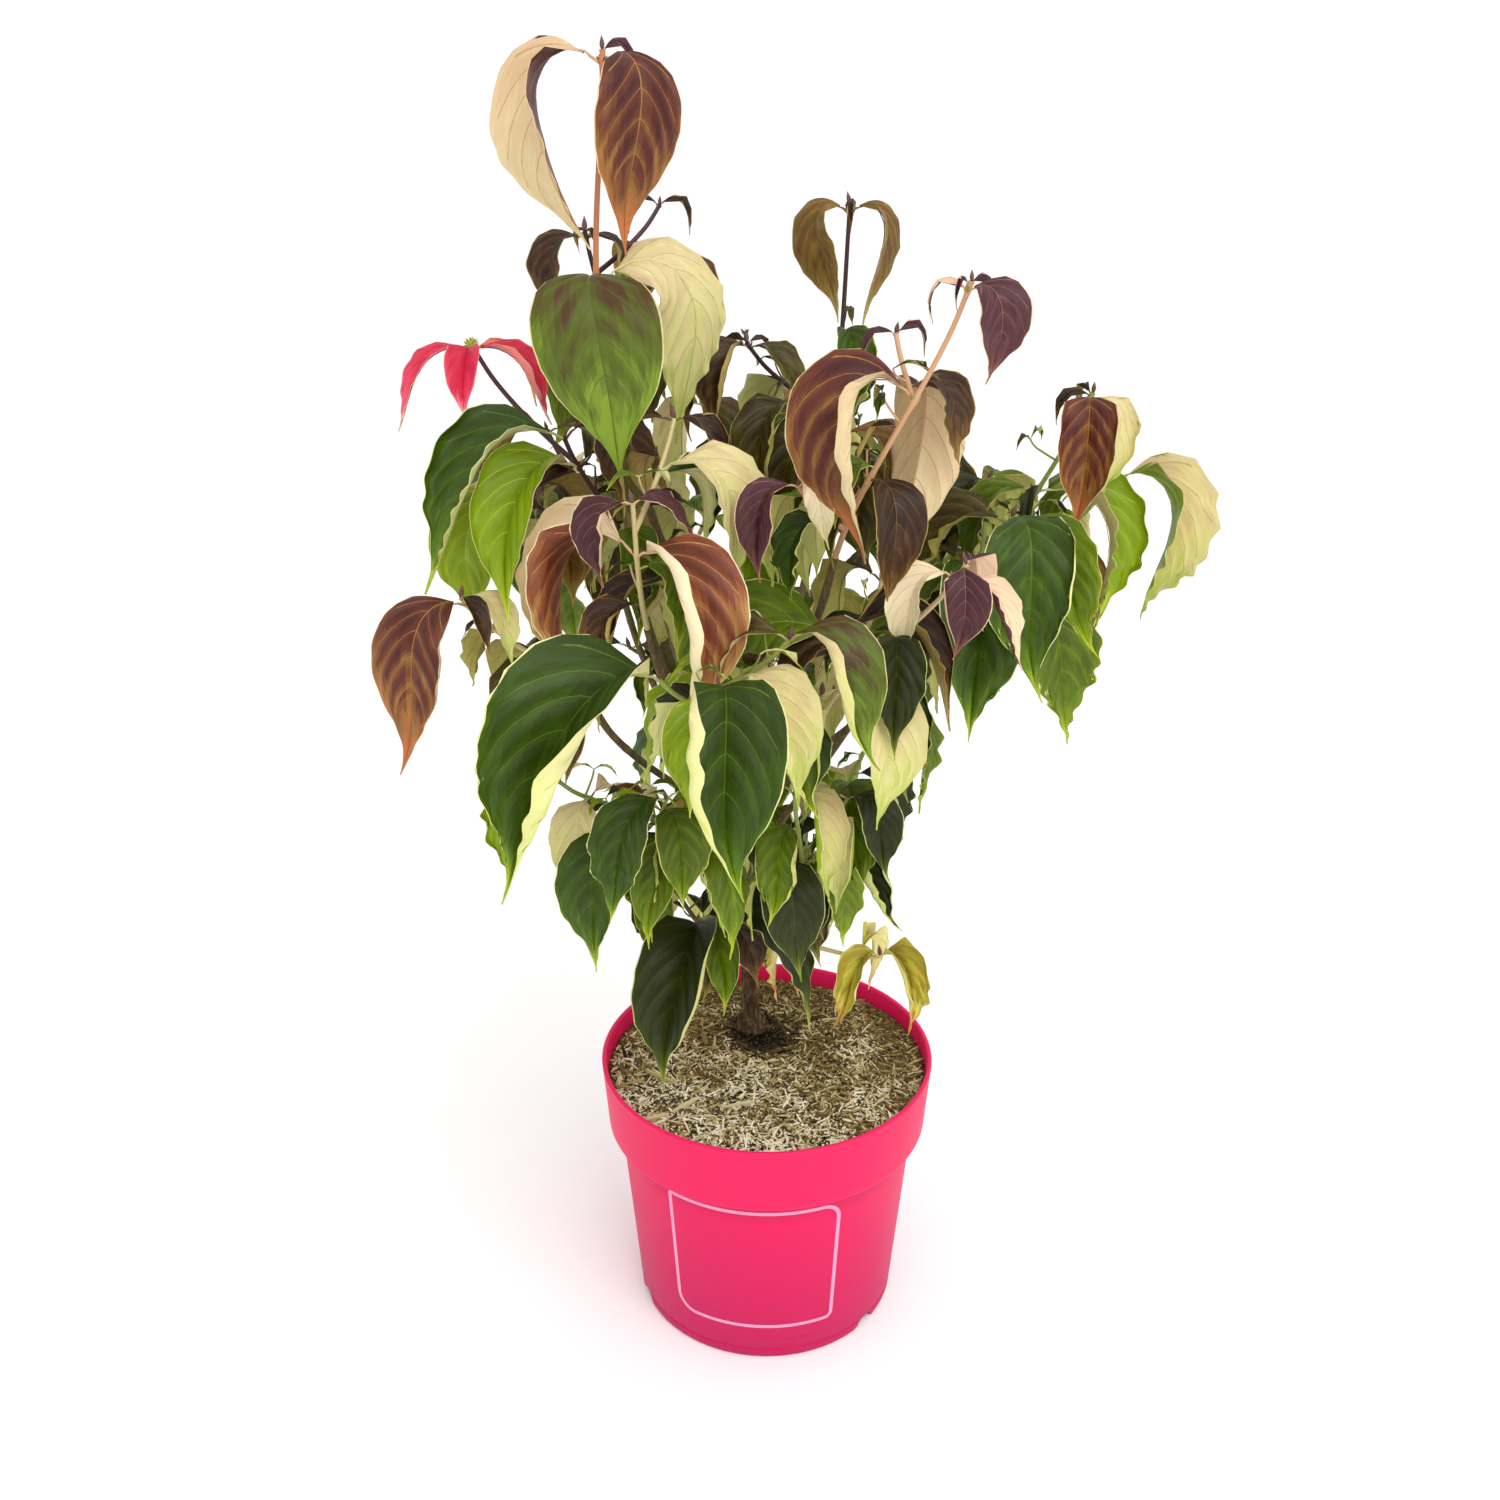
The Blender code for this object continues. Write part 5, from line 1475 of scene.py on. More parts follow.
class Blade:
    """One leaf drawn as a thin closed blade whose mesh follows its veins.

    vein and apart tell of each row of cells, place is each vertex's share of the
    blade, and across its share of the half width, negative on the left.
    """

    def __init__(self, leaf: Leaf, drawing: LeafDrawing) -> None:
        """Lay the mesh's rows and columns out.

        Args:
            leaf: The leaf.
            drawing: How it is drawn.
        """
        self.leaf, self.drawing = leaf, drawing
        self.rng = seeded("draw", leaf.seat)
        self.side = -1.0 if leaf.coat.turned else 1.0
        self.scale = leaf.length / drawing.full_length
        shares, self.vein, self.apart = drawing.rows(leaf.length)
        rib = np.minimum(drawing.midrib * (1 - 0.75 * shares) * leaf.length / drawing.full_length
                         / np.maximum(self.widths(shares), 0.05), 0.5)[:, None]
        positive = np.concatenate(
            [np.zeros_like(rib), rib + (1 - rib) * drawing.columns(leaf.length)], axis=1)
        self.across = np.concatenate([-positive[:, :0:-1], positive], axis=1)
        bend = drawing.arch * np.sqrt(shares) * (1 - shares)
        self.place = shares[:, None] + bend[:, None] * np.abs(self.across) ** drawing.arch_power

    def draw(self, blades: Batch, stalks: Batch) -> None:
        """Draw the leaf with its stalk and its midrib.

        Args:
            blades: What takes its blade.
            stalks: What takes its stalk.
        """
        leaf, d = self.leaf, self.drawing
        frames = leaf.frames()
        line, sides, ups = (np.array([row[k] for row in frames]) for k in range(3))
        stage = (PETIOLE + (1 - PETIOLE) * self.place) * MIDRIB_STEPS
        wide, high = self.section()
        # The midrib bows to one side and its tip sweeps
        bow = self.rng.uniform(-1, 1) * d.bow * np.sin(np.pi * np.clip(self.place, 0, 1))
        tip = self.rng.uniform(-1, 1) * d.sweep * np.clip(self.place * 2.6 - 1.6, 0, 1) ** 2
        wide = wide + leaf.length * (bow + tip)
        high = high + self.surface()
        middle = (spline(line, stage) + unit(spline(sides, stage)) * wide[..., None]
                  + unit(spline(ups, stage)) * high[..., None])
        outward = unit(np.cross(np.gradient(middle, axis=0), np.gradient(middle, axis=1)))
        thin = 1 - 0.45 * np.abs(self.across) ** 4
        lift = outward * (d.thickness * 0.5 * min(1.0, leaf.length / 60)) * thin[..., None]
        upper, under = middle + lift, middle - lift
        tones_up, tones_down = self.tones(blades)
        blades.grid(upper, tones_up)
        blades.grid(under, tones_down, flip=True)
        # A rim in the under side's tones closes the blade
        loop = np.stack([np.concatenate([p[:-1, 0], p[-1, :-1], p[:0:-1, -1], p[0, :0:-1]])
                         for p in (upper, under)])
        down = tones_down
        edge = np.concatenate([down[:, 0], down[-1, :], down[::-1, -1], down[0, ::-1]])
        blades.grid(loop, edge[None, :], around=True, flip=True)
        self.stalk(line, middle, outward, stalks)

    def widths(self, shares: Array) -> Array:
        """Half the blade's width at shares of the blade, drawn in to a long tip.

        Args:
            shares: Where, from the blade's foot to its tip.

        Returns:
            Half widths.
        """
        blade = np.clip(shares, 0.0, 1.0)
        tip = 1 - 0.5 * smoothstep(0.6, 0.95, blade)
        bract = self.leaf.coat.tint in (Tint.BRACT, Tint.BRACT_ORANGE)
        slim = 0.62 if self.leaf.length < YOUNG_LEAF else 0.85 if bract else 1.0
        whole = 0.5 * self.leaf.aspect * self.leaf.length
        return np.maximum(whole * blade_shape(blade) * tip * slim, 0.22)

    def section(self) -> tuple[Array, Array]:
        """Bend the blade's halves up from the midrib and roll its margins.

        Returns:
            How far each vertex stands to the side and above the midrib.
        """
        d, rng, coat, steps = self.drawing, self.rng, self.leaf.coat, self.drawing.bend_steps
        grid = np.linspace(0, 1, steps)
        fold = rng.uniform(*d.fold) if coat.fold is None else coat.fold
        cup = rng.uniform(*d.cup)
        drawn = [rng.uniform(*(d.roll if rng.random() < d.rolled else d.open_roll))
                 for _ in range(2)]
        reach = smoothstep(coat.start, coat.start + 0.3, grid) * (1 - smoothstep(0.8, 1.05, grid))
        row, column = np.clip(self.place, 0, 1) * (steps - 1), np.abs(self.across) * (steps - 1)
        i, j = (np.clip(v.astype(int), 0, steps - 2) for v in (row, column))
        a, b = row - i, column - j
        halves = []
        for chance, asked in zip(drawn, (coat.left, coat.right)):
            roll = chance if asked is None else asked
            start = rng.uniform(0.42, 0.6) if abs(roll) < 140 else 0.5
            waves = 6.28 * (self.leaf.length / rng.uniform(*d.frill_length) * grid + rng.random())
            swing = np.sin(waves + 0.9 * np.sin(waves * 0.37 + 6.28 * rng.random()))
            start = start + d.frill * (0.5 + 0.5 * swing[:, None])
            angle = fold + cup * grid[None, :] + 0 * grid[:, None]
            angle = angle + roll * smoothstep(start, 1.0, grid[None, :]) * reach[:, None]
            angle = np.radians(np.minimum(angle, d.most_bend))
            read = []
            for part in (np.cos(angle), np.sin(angle)):
                table = np.cumsum(part, axis=1) / steps
                table = table - table[:, :1]
                read.append((table[i, j] * (1 - a) + table[i + 1, j] * a) * (1 - b)
                            + (table[i, j + 1] * (1 - a) + table[i + 1, j + 1] * a) * b)
            halves.append(read)
        width = self.widths(self.place)
        out, rise = (np.where(self.across < 0, left, right) for left, right in zip(*halves))
        return np.sign(self.across) * out * width, rise * width

    def surface(self) -> Array:
        """The blade's own relief: sunk veins, the swell between them, a waved margin.

        Returns:
            How far each vertex stands above the bent blade.
        """
        d, rng, coat, scale, place = (
            self.drawing, self.rng, self.leaf.coat, self.scale, self.place)
        t = np.abs(self.across)
        near = np.zeros(len(self.apart) + 1)
        near[1:-1] = np.minimum(self.apart[:-1], self.apart[1:])
        on_vein = np.append(False, self.vein) | np.append(self.vein, False)
        swell = np.where(on_vein, 0.0, near + 0.25)[:, None]
        high = self.side * d.quilt * scale * swell * np.sin(np.pi * np.clip(t, 0, 1)) ** 0.7
        high = high - self.side * d.groove * scale * np.exp(-(t * 12) ** 2)
        size = rng.uniform(*d.wave) * (0.5 + 0.5 * scale)
        run = place * self.leaf.length * 6.28
        margin = t ** 2.2 * np.sin(np.pi * np.clip(place, 0, 1)) ** 0.5
        for hand, roll in ((-1, coat.left), (1, coat.right)):
            # A rolled margin waves less, so that it never meets its own blade
            calm = 1 - 0.8 * min(1.0, abs(roll or 0.0) / 130)
            length = rng.uniform(*d.wave_length) * (0.5 + 0.5 * min(1.0, scale))
            phase, second = rng.uniform(0, 6.28), rng.uniform(0, 6.28)
            drift = 0.6 * np.sin(run / (length * 2.7) + second)
            ripple = np.sin(run / length + phase + drift) * (1 + 0.6 * drift)
            high = high + np.where(np.sign(self.across) == hand,
                                   ripple * margin * size * coat.tint.value.wave * calm, 0.0)
        return high

    def tones(self, blades: Batch) -> tuple[Array, Array]:
        """Deal the tint's tones to the cells of both sides.

        Args:
            blades: The batch whose finishes are counted.

        Returns:
            Finish numbers for the upper and the under cells.
        """
        leaf, rng, place, across = self.leaf, self.rng, self.place, self.across
        ramp, grown = leaf.coat.tint.value, leaf.length >= YOUNG_LEAF
        rows, columns = place.shape[0] - 1, place.shape[1] - 1
        s = (place[1:, 1:] + place[:-1, :-1] + place[1:, :-1] + place[:-1, 1:]) / 4
        t = np.abs(across[:, 1:] + across[:, :-1])[1:] / 2
        draws = np.random.default_rng(rng.randrange(1 << 30))
        speck = draws.uniform(-0.3, 0.3, (rows, columns))
        corner = Vector([rng.uniform(0, 90) for _ in range(3)])
        blotch = np.array([[
            noise.noise(corner + Vector((s[i, j] * 7, across[i, j] * 3.4, 0)))
            + 0.5 * noise.noise(corner + Vector((s[i, j] * 17, across[i, j] * 8, 4)))
            for j in range(columns)] for i in range(rows)])
        top, low = UPPER_SHADES - 1, UNDER_SHADES - 1
        core = np.clip(self.apart[:, None], 0, 1) ** 0.6 * (1 - t ** 3)
        core = core * (1 - 0.6 * np.exp(-(t * 6) ** 2)) * (1 - 0.5 * smoothstep(0.4, 0.85, s))
        bands = ramp.spread * (0.16 + 0.3 * smoothstep(0.1, 0.75, s))
        value = (1 - core) * bands + 0.72 * smoothstep(ramp.fade, 1.05, s) ** 1.4
        value = value + blotch * 0.2 * ramp.blotch + rng.uniform(-0.1, 0.1)
        level = np.clip(np.round(value * top + speck), 0, top).astype(int)
        below = np.clip(np.round((s + blotch * 0.3) * low + speck * 0.6), 0, low).astype(int)
        upper = self.numbers(blades, "", shades(ramp.upper, UPPER_SHADES), 0.42)[level]
        under = self.numbers(blades, "_under", shades(ramp.under, UNDER_SHADES), 0.62)[below]
        line_up = self.numbers(blades, "_vein", [ramp.vein], 0.42)[0]
        line_down = self.numbers(blades, "_under_vein", [ramp.under_vein], 0.62)[0]
        middle = slice(columns // 2 - 1, columns // 2 + 1)
        lines = self.vein[:, None] & (t < 0.8) & (s < 0.85)
        if grown:
            lines[:, middle] |= s[:, middle] < 0.85
        upper = np.where(lines, line_up, upper)
        if grown:
            upper[:, [0, -1]] = under[:, [0, -1]]
        under = np.where(lines, line_down, under)
        return (under, upper) if leaf.coat.turned else (upper, under)

    def numbers(self, blades: Batch, part: str, colours: Sequence[str], matt: float) -> Array:
        """The batch's numbers for a row of tones, which are named for the tint and part."""
        name = f"leaf_{self.leaf.coat.tint.name.lower()}{part}"
        return np.array([blades.tone(PlainFinish(f"{name}_{k}", colour, matt))
                         for k, colour in enumerate(colours)])

    def stalk(self, line: Array, middle: Array, outward: Array, stalks: Batch) -> None:
        """Draw the stalk, which runs on as a ridge under the midrib.

        Args:
            line: The leaf's own line.
            middle: The blade's vertices.
            outward: Their upper normals.
            stalks: What takes the tube.
        """
        d, tint = self.drawing, self.leaf.coat.tint
        scale = min(1.0, 0.35 + 0.65 * self.leaf.length / 100)
        foot = spline(line, np.linspace(0, PETIOLE, 4)[:-1] * MIDRIB_STEPS)
        spots = (slice(None, None, max(1, (len(middle) - 1) // 9)), middle.shape[1] // 2)
        rib = middle[spots] - outward[spots] * self.side * d.thickness * scale
        radii = np.concatenate([np.full(len(foot), d.stalk_radius),
                                np.linspace(0.62, 0.14, len(rib) - 1) * d.stalk_radius]) * scale
        finish = PlainFinish(f"stalk_{tint.name.lower()}", tint.value.stalk, 0.5, 0.35, Grain.RIND)
        stalks.limb(np.concatenate([foot, rib[:-1]]), radii, 5, finish)


@dataclass
class Wood:
    """The trunk and boughs with the relief of their bark."""
    trunk: Trunk = Trunk()
    trunk_rings: int = 190
    trunk_sides: int = 44
    bough_rings: int = 64
    bough_sides: int = 16
    below: float = 2.5

    def trunk_relief(self, z: float, angles: Array) -> Array:
        """Scale the trunk's radius for fissures, flakes and old leaf scars.

        Args:
            z: A ring's height.
            angles: Its points' angles in radians.

        Returns:
            A factor for each point.
        """
        swell = []
        for angle in angles:
            ring = Vector((math.cos(angle), math.sin(angle), 0)) * 2.6
            ridge = noise.noise(ring + Vector((0, 0, z * 0.055)))
            flake = noise.noise(ring * 2.3 + Vector((5, 1, z * 0.21)))
            grit = noise.noise(ring * 5 + Vector((2, 9, z * 0.6)))
            swell.append(1 + 0.2 * ridge - 0.2 * abs(flake) + 0.09 * grit)
        return np.array(swell) + 0.12 * math.exp(-(((z - 13) % 38 - 19) / 1.8) ** 2)

    def bough_relief(self, z: float, angles: Array) -> Array:
        """Scale a bough's radius for shallow ridges and leaf-scar rings."""
        swell = [1 + 0.07 * noise.noise(Vector((math.cos(a) * 1.8, math.sin(a) * 1.8, z * 0.09)))
                 for a in angles]
        return np.array(swell) + 0.12 * math.exp(-((z % 31 - 15) / 1.3) ** 2)

    def build(self, plan: Plan) -> None:
        """Make the bark piece, which replaces the trunk and every bough.

        Args:
            plan: The grown masses.
        """
        batch = Batch("bark")
        shares = np.linspace(0, 1, self.trunk_rings) ** 1.15
        line = np.array([self.trunk.axis(float(s)) for s in shares])
        radii = np.array([self.trunk.thickness(float(s)) for s in shares])
        line[0][2] -= self.below
        batch.limb(line, radii, self.trunk_sides, OLD_BARK, self.trunk_relief)
        for mass in plan.values():
            points, sizes = np.array(mass.bough[0]), mass.bough[1]
            places = np.linspace(0, len(points) - 1, self.bough_rings)
            widths = np.interp(places, np.arange(len(points)), sizes)
            collar = 1 + 0.5 * np.exp(-((places - 0.35) / 0.3) ** 2)
            batch.limb(spline(points, places), widths * collar, self.bough_sides, YOUNG_BARK,
                       self.bough_relief)
        batch.piece("trunk", *("bough_" + name for name in plan), slot="bark", crease=80)


@dataclass
class Foliage:
    """The masses drawn finely: blades, twigs with stalks and buds, and the bloom."""
    drawing: LeafDrawing = LeafDrawing()
    twig_sides: int = 9
    twig_rings: int = 44
    twig_share: float = 0.78
    bud_shape: tuple[Span, ...] = (
        (0.0, 0.1), (0.15, 0.16), (0.38, 0.2), (0.62, 0.15), (0.85, 0.06), (1.0, 0.01))
    flowers: int = 46

    def build(self, plan: Plan) -> None:
        """Make each mass's leaves, then the twigs and the bloom.

        Args:
            plan: The grown masses.
        """
        twigs, blossom = Batch("twigs"), Batch("blossom")
        groups = {mass: slot for slot, masses in SLOTS.items() for mass in masses}
        for name, mass in plan.items():
            blades = Batch("leaves_" + name)
            for leaf in mass.leaves:
                Blade(leaf, self.drawing).draw(blades, twigs)
            for bract in mass.bracts:
                Blade(bract, self.drawing).draw(blossom, blossom)
            blades.piece("foliage_" + name, slot=groups.get(name, "leaves_green"))
            self.twigs(name, mass, twigs, blossom)
        twigs.piece(*("foliage_" + name for name in plan), slot="bark", crease=80)
        blossom.piece("foliage_left", slot="leaves_burgundy")

    def twigs(self, name: str, mass: Mass, twigs: Batch, blossom: Batch) -> None:
        """Draw a mass's stem, shoots, fine twigs and buds.

        Args:
            name: The mass.
            mass: What has grown.
            twigs: What takes them.
            blossom: What takes the bloom's head.
        """
        rind = BOUGHS[name].rind
        finish = PlainFinish(f"rind_{rind.name.lower()}", rind.value, 0.5, 0.35, Grain.RIND)
        bud = PlainFinish("bud_scales", "#6A4A44", 0.6, 0.3, Grain.RIND)
        green_bud = PlainFinish("bud_scales_green", "#8A8A50", 0.6, 0.3, Grain.RIND)
        for number, (shoot, path, radii) in enumerate(mass.shoots):
            nodes = [p.at for p in (*shoot.pairs, *Habit().fill_pairs(shoot, path))]
            count = len(path) - 1
            places = np.linspace(0, count, self.twig_rings)
            widths = np.interp(places, np.arange(count + 1), radii) * self.twig_share
            for at in nodes:
                widths = widths * (1 + 0.32 * np.exp(-((places / count - at) / 0.018) ** 2))
            twigs.limb(spline(np.array(path), places), widths, self.twig_sides, finish)
            rng = seeded("buds", name, number)
            for at in nodes:
                # Two small buds sit in the leaves' axils, but for the topmost pair's
                scales = green_bud if rng.random() < 0.5 else bud
                if at > 0.97:
                    continue
                turn = rng.uniform(0, 180)
                for way in (compass(turn), compass(turn + 180)):
                    self.bud(along(path, at) + way * 1.3 + UP * 0.8, way * 0.55 + UP,
                             rng.uniform(2.6, 4.2), twigs, scales)
            if shoot.flower:
                self.head(path[-1], blossom)
            else:
                self.bud(path[-1], UP + compass(rng.uniform(0, 360)) * 0.25,
                         rng.uniform(5, 8), twigs, bud)
        for line, sizes in mass.spurs:
            places = np.linspace(0, len(line) - 1, 9)
            twigs.limb(spline(np.array(line), places),
                       np.interp(places, np.arange(len(line)), sizes), 6, finish)

    def bud(self, root: Vector, way: Vector, length: float, batch: Batch, finish: Finish) -> None:
        """Draw one pointed bud.

        Args:
            root: Its foot.
            way: Where it points.
            length: Its length.
            batch: What takes it.
            finish: Its finish.
        """
        way = way.normalized()
        line = np.array([root + way * (length * share) for share, _ in self.bud_shape])
        radii = np.array([radius for _, radius in self.bud_shape]) * length
        batch.limb(line, radii, 6, finish)

    def head(self, tip: Vector, blossom: Batch) -> None:
        """Draw the bloom's head: a knob of small flowers, some with open stamens.

        Args:
            tip: The shoot's tip.
            blossom: What takes it.
        """
        rng = seeded("head")
        green = PlainFinish("flower_head", "#A9A84E", 0.6, 0.3, Grain.RIND)
        buff = PlainFinish("flower_head_buff", "#D8B98A", 0.6, 0.3, Grain.RIND)
        core = np.array([tip - UP * 3.0, tip - UP * 1.6, tip, tip + UP * 1.6, tip + UP * 2.8])
        blossom.limb(core, np.array([1.2, 2.3, 2.8, 2.2, 0.7]), 10, green)
        for k in range(self.flowers):
            height = 1 - 2 * (k + 0.5) / self.flowers
            way = compass(k * 137.5) * math.sqrt(1 - height * height) + UP * height
            self.bud(tip + way * 2.3, way, rng.uniform(1.7, 2.6), blossom,
                     green if rng.random() < 0.6 else buff)


@dataclass
class Pot:
    """The nursery pot: a tapered body under a deep collar, notched at its foot."""
    rim_radius: float = 100.0
    height: float = 168.0
    base_radius: float = 79.5
    collar_height: float = 43.0
    collar_foot_radius: float = 96.8
    body_top_radius: float = 90.0
    wall: float = 2.0
    floor: float = 2.5
    steps: int = 192
    notch_bearings: tuple[float, ...] = (-40.0, 80.0, 200.0)
    notch_half: float = 7.0
    notch_height: float = 6.0
    notch_reach: float = 9.5
    panel_bearings: Span = (-129.6, -62.2)
    panel_heights: Span = (26.5, 117.0)
    panel_corners: tuple[float, float, float, float] = (12.0, 4.0, 10.0, 1.5)
    panel_radius: float = 85.0
    line_width: float = 2.3
    line_height: float = 0.16

    def body_radius(self, z: float) -> float:
        """The body's outer radius at a height."""
        foot = self.height - self.collar_height
        return self.base_radius + (self.body_top_radius - self.base_radius) * z / foot

    def profile(self) -> list[Span]:
        """The pot's section, from the middle of its floor up inside and down outside.

        Returns:
            Radii and heights.
        """
        top, foot = self.height, self.height - self.collar_height
        rim, wall, collar = self.rim_radius, self.wall, self.collar_foot_radius
        body, base = self.body_top_radius, self.base_radius
        inner = self.body_radius(self.floor) - wall
        low, high = foot + 2.6, top - 4.0
        return [
            (0.001, self.floor), (inner - 1.5, self.floor), (inner, self.floor + 1.2),
            (body - wall - 0.4, foot + wall - 1.5), (body - wall + 0.3, foot + wall - 0.2),
            (collar - wall - 0.7, foot + 2 * wall - 0.4),
            *((collar - wall + (rim - collar - 0.9) * k / 6,
               foot + 2 * wall + 0.6 + (top - foot - 2 * wall - 1.9) * k / 6) for k in range(7)),
            (rim - wall - 0.6, top - 0.5), (rim - wall - 0.1, top - 0.1), (rim - 1.3, top),
            (rim - 0.5, top - 0.25), (rim - 0.05, top - 0.9), (rim - 0.15, top - 2.2),
            (rim - 0.42, top - 2.9),
            *((collar + 0.15 + (rim - 0.55 - collar) * (1 - k / 8), high + (low - high) * k / 8)
              for k in range(9)),
            (collar, foot + 1.2), (collar - 0.35, foot + 0.4), (collar - 1.1, foot),
            (body + 1.2, foot + 0.1), (body + 0.2, foot - 0.6),
            *((self.body_radius(z), z) for z in np.linspace(foot - 2.2, 9.2, 22)),
            *((self.body_radius(z) - inset, z) for z, inset in (
                (8.4, 0.1), (7.8, 0.5), (7.1, 0.5), (6.5, 0.1), (4.2, 0.0), (2.0, 0.0))),
            (base - 0.5, 0.6), (base - 1.6, 0.0), (base - 7.0, 0.0), (base - 8.2, 0.9),
            (0.001, 0.9)]

    def build(self) -> None:
        """Make the pot and its printed line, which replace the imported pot."""
        shape = np.array(self.profile())
        angles = np.arange(self.steps) * 2 * math.pi / self.steps
        rings = np.stack([shape[:, :1] * np.cos(angles), shape[:, :1] * np.sin(angles),
                          np.repeat(shape[:, 1:], self.steps, axis=1)], -1)
        self.notch(rings, angles)
        batch = Batch("nursery_pot")
        batch.grid(rings, np.array(batch.tone(MouldedPlastic())), around=True)
        batch.piece("pot", slot="pot_plastic", crease=38)
        self.panel()

    def notch(self, rings: Array, angles: Array) -> None:
        """Lift the foot's edge into an arch at each drain notch.

        Args:
            rings: The pot's vertices, by ring and step.
            angles: The steps' angles in radians.
        """
        z = rings[..., 2]
        foot = (z < self.notch_reach) & (np.hypot(rings[..., 0], rings[..., 1])
                                         > self.base_radius - 9)
        for bearing in self.notch_bearings:
            off = (np.degrees(angles) - bearing + 180) % 360 - 180
            reach = np.abs(np.radians(off)) * self.base_radius / self.notch_half
            arch = self.notch_height * np.sqrt(np.clip(1 - reach ** 4, 0, 1))[None, :]
            lifted = arch + z * (1 - arch / self.notch_reach)
            z = np.where(foot, np.maximum(z, lifted), z)
        rings[..., 2] = z

    def outline(self) -> Array:
        """The printed line's middle, as arc lengths round the pot and heights.

        Returns:
            Points once round.
        """
        left, right = (math.radians(b) * self.panel_radius for b in self.panel_bearings)
        low, high = self.panel_heights
        points = []
        for (x, z), turn, radius in zip(((left, low), (right, low), (right, high), (left, high)),
                                        (180, 270, 0, 90), self.panel_corners):
            cx = x + radius * (1 if x == left else -1)
            cz = z + radius * (1 if z == low else -1)
            for k in range(13):
                angle = math.radians(turn + 90 * k / 12)
                points.append((cx + radius * math.cos(angle), cz + radius * math.sin(angle)))
        dense = []
        for a, b in zip(points, points[1:] + points[:1]):
            steps = max(1, int(math.dist(a, b) / 2.5))
            dense += [(a[0] + (b[0] - a[0]) * k / steps, a[1] + (b[1] - a[1]) * k / steps)
                      for k in range(steps)]
        return np.array(dense)

    def panel(self) -> None:
        """Make the pale printed line of the panel on the pot's front."""
        path = self.outline()
        ahead = unit(np.roll(path, -1, 0) - np.roll(path, 1, 0))
        out = np.stack([ahead[:, 1], -ahead[:, 0]], -1)
        half, high = self.line_width / 2, self.line_height
        rows = []
        for across, height in ((-half, -0.3), (-half, high * 0.6), (-half * 0.6, high),
                               (half * 0.6, high), (half, high * 0.6), (half, -0.3)):
            flat = path + out * across
            radius = np.array([self.body_radius(z) for z in flat[:, 1]]) + height
            angle = flat[:, 0] / self.panel_radius
            rows.append(np.stack([radius * np.cos(angle), radius * np.sin(angle), flat[:, 1]], -1))
        batch = Batch("panel_line")
        ink = PlainFinish("screen_ink_pale", "#F09CBC", 0.5, 0.3, Grain.RIND)
        batch.grid(np.array(rows + rows[:1]), np.array(batch.tone(ink)), around=True)
        batch.piece(slot="pot_plastic", crease=70)


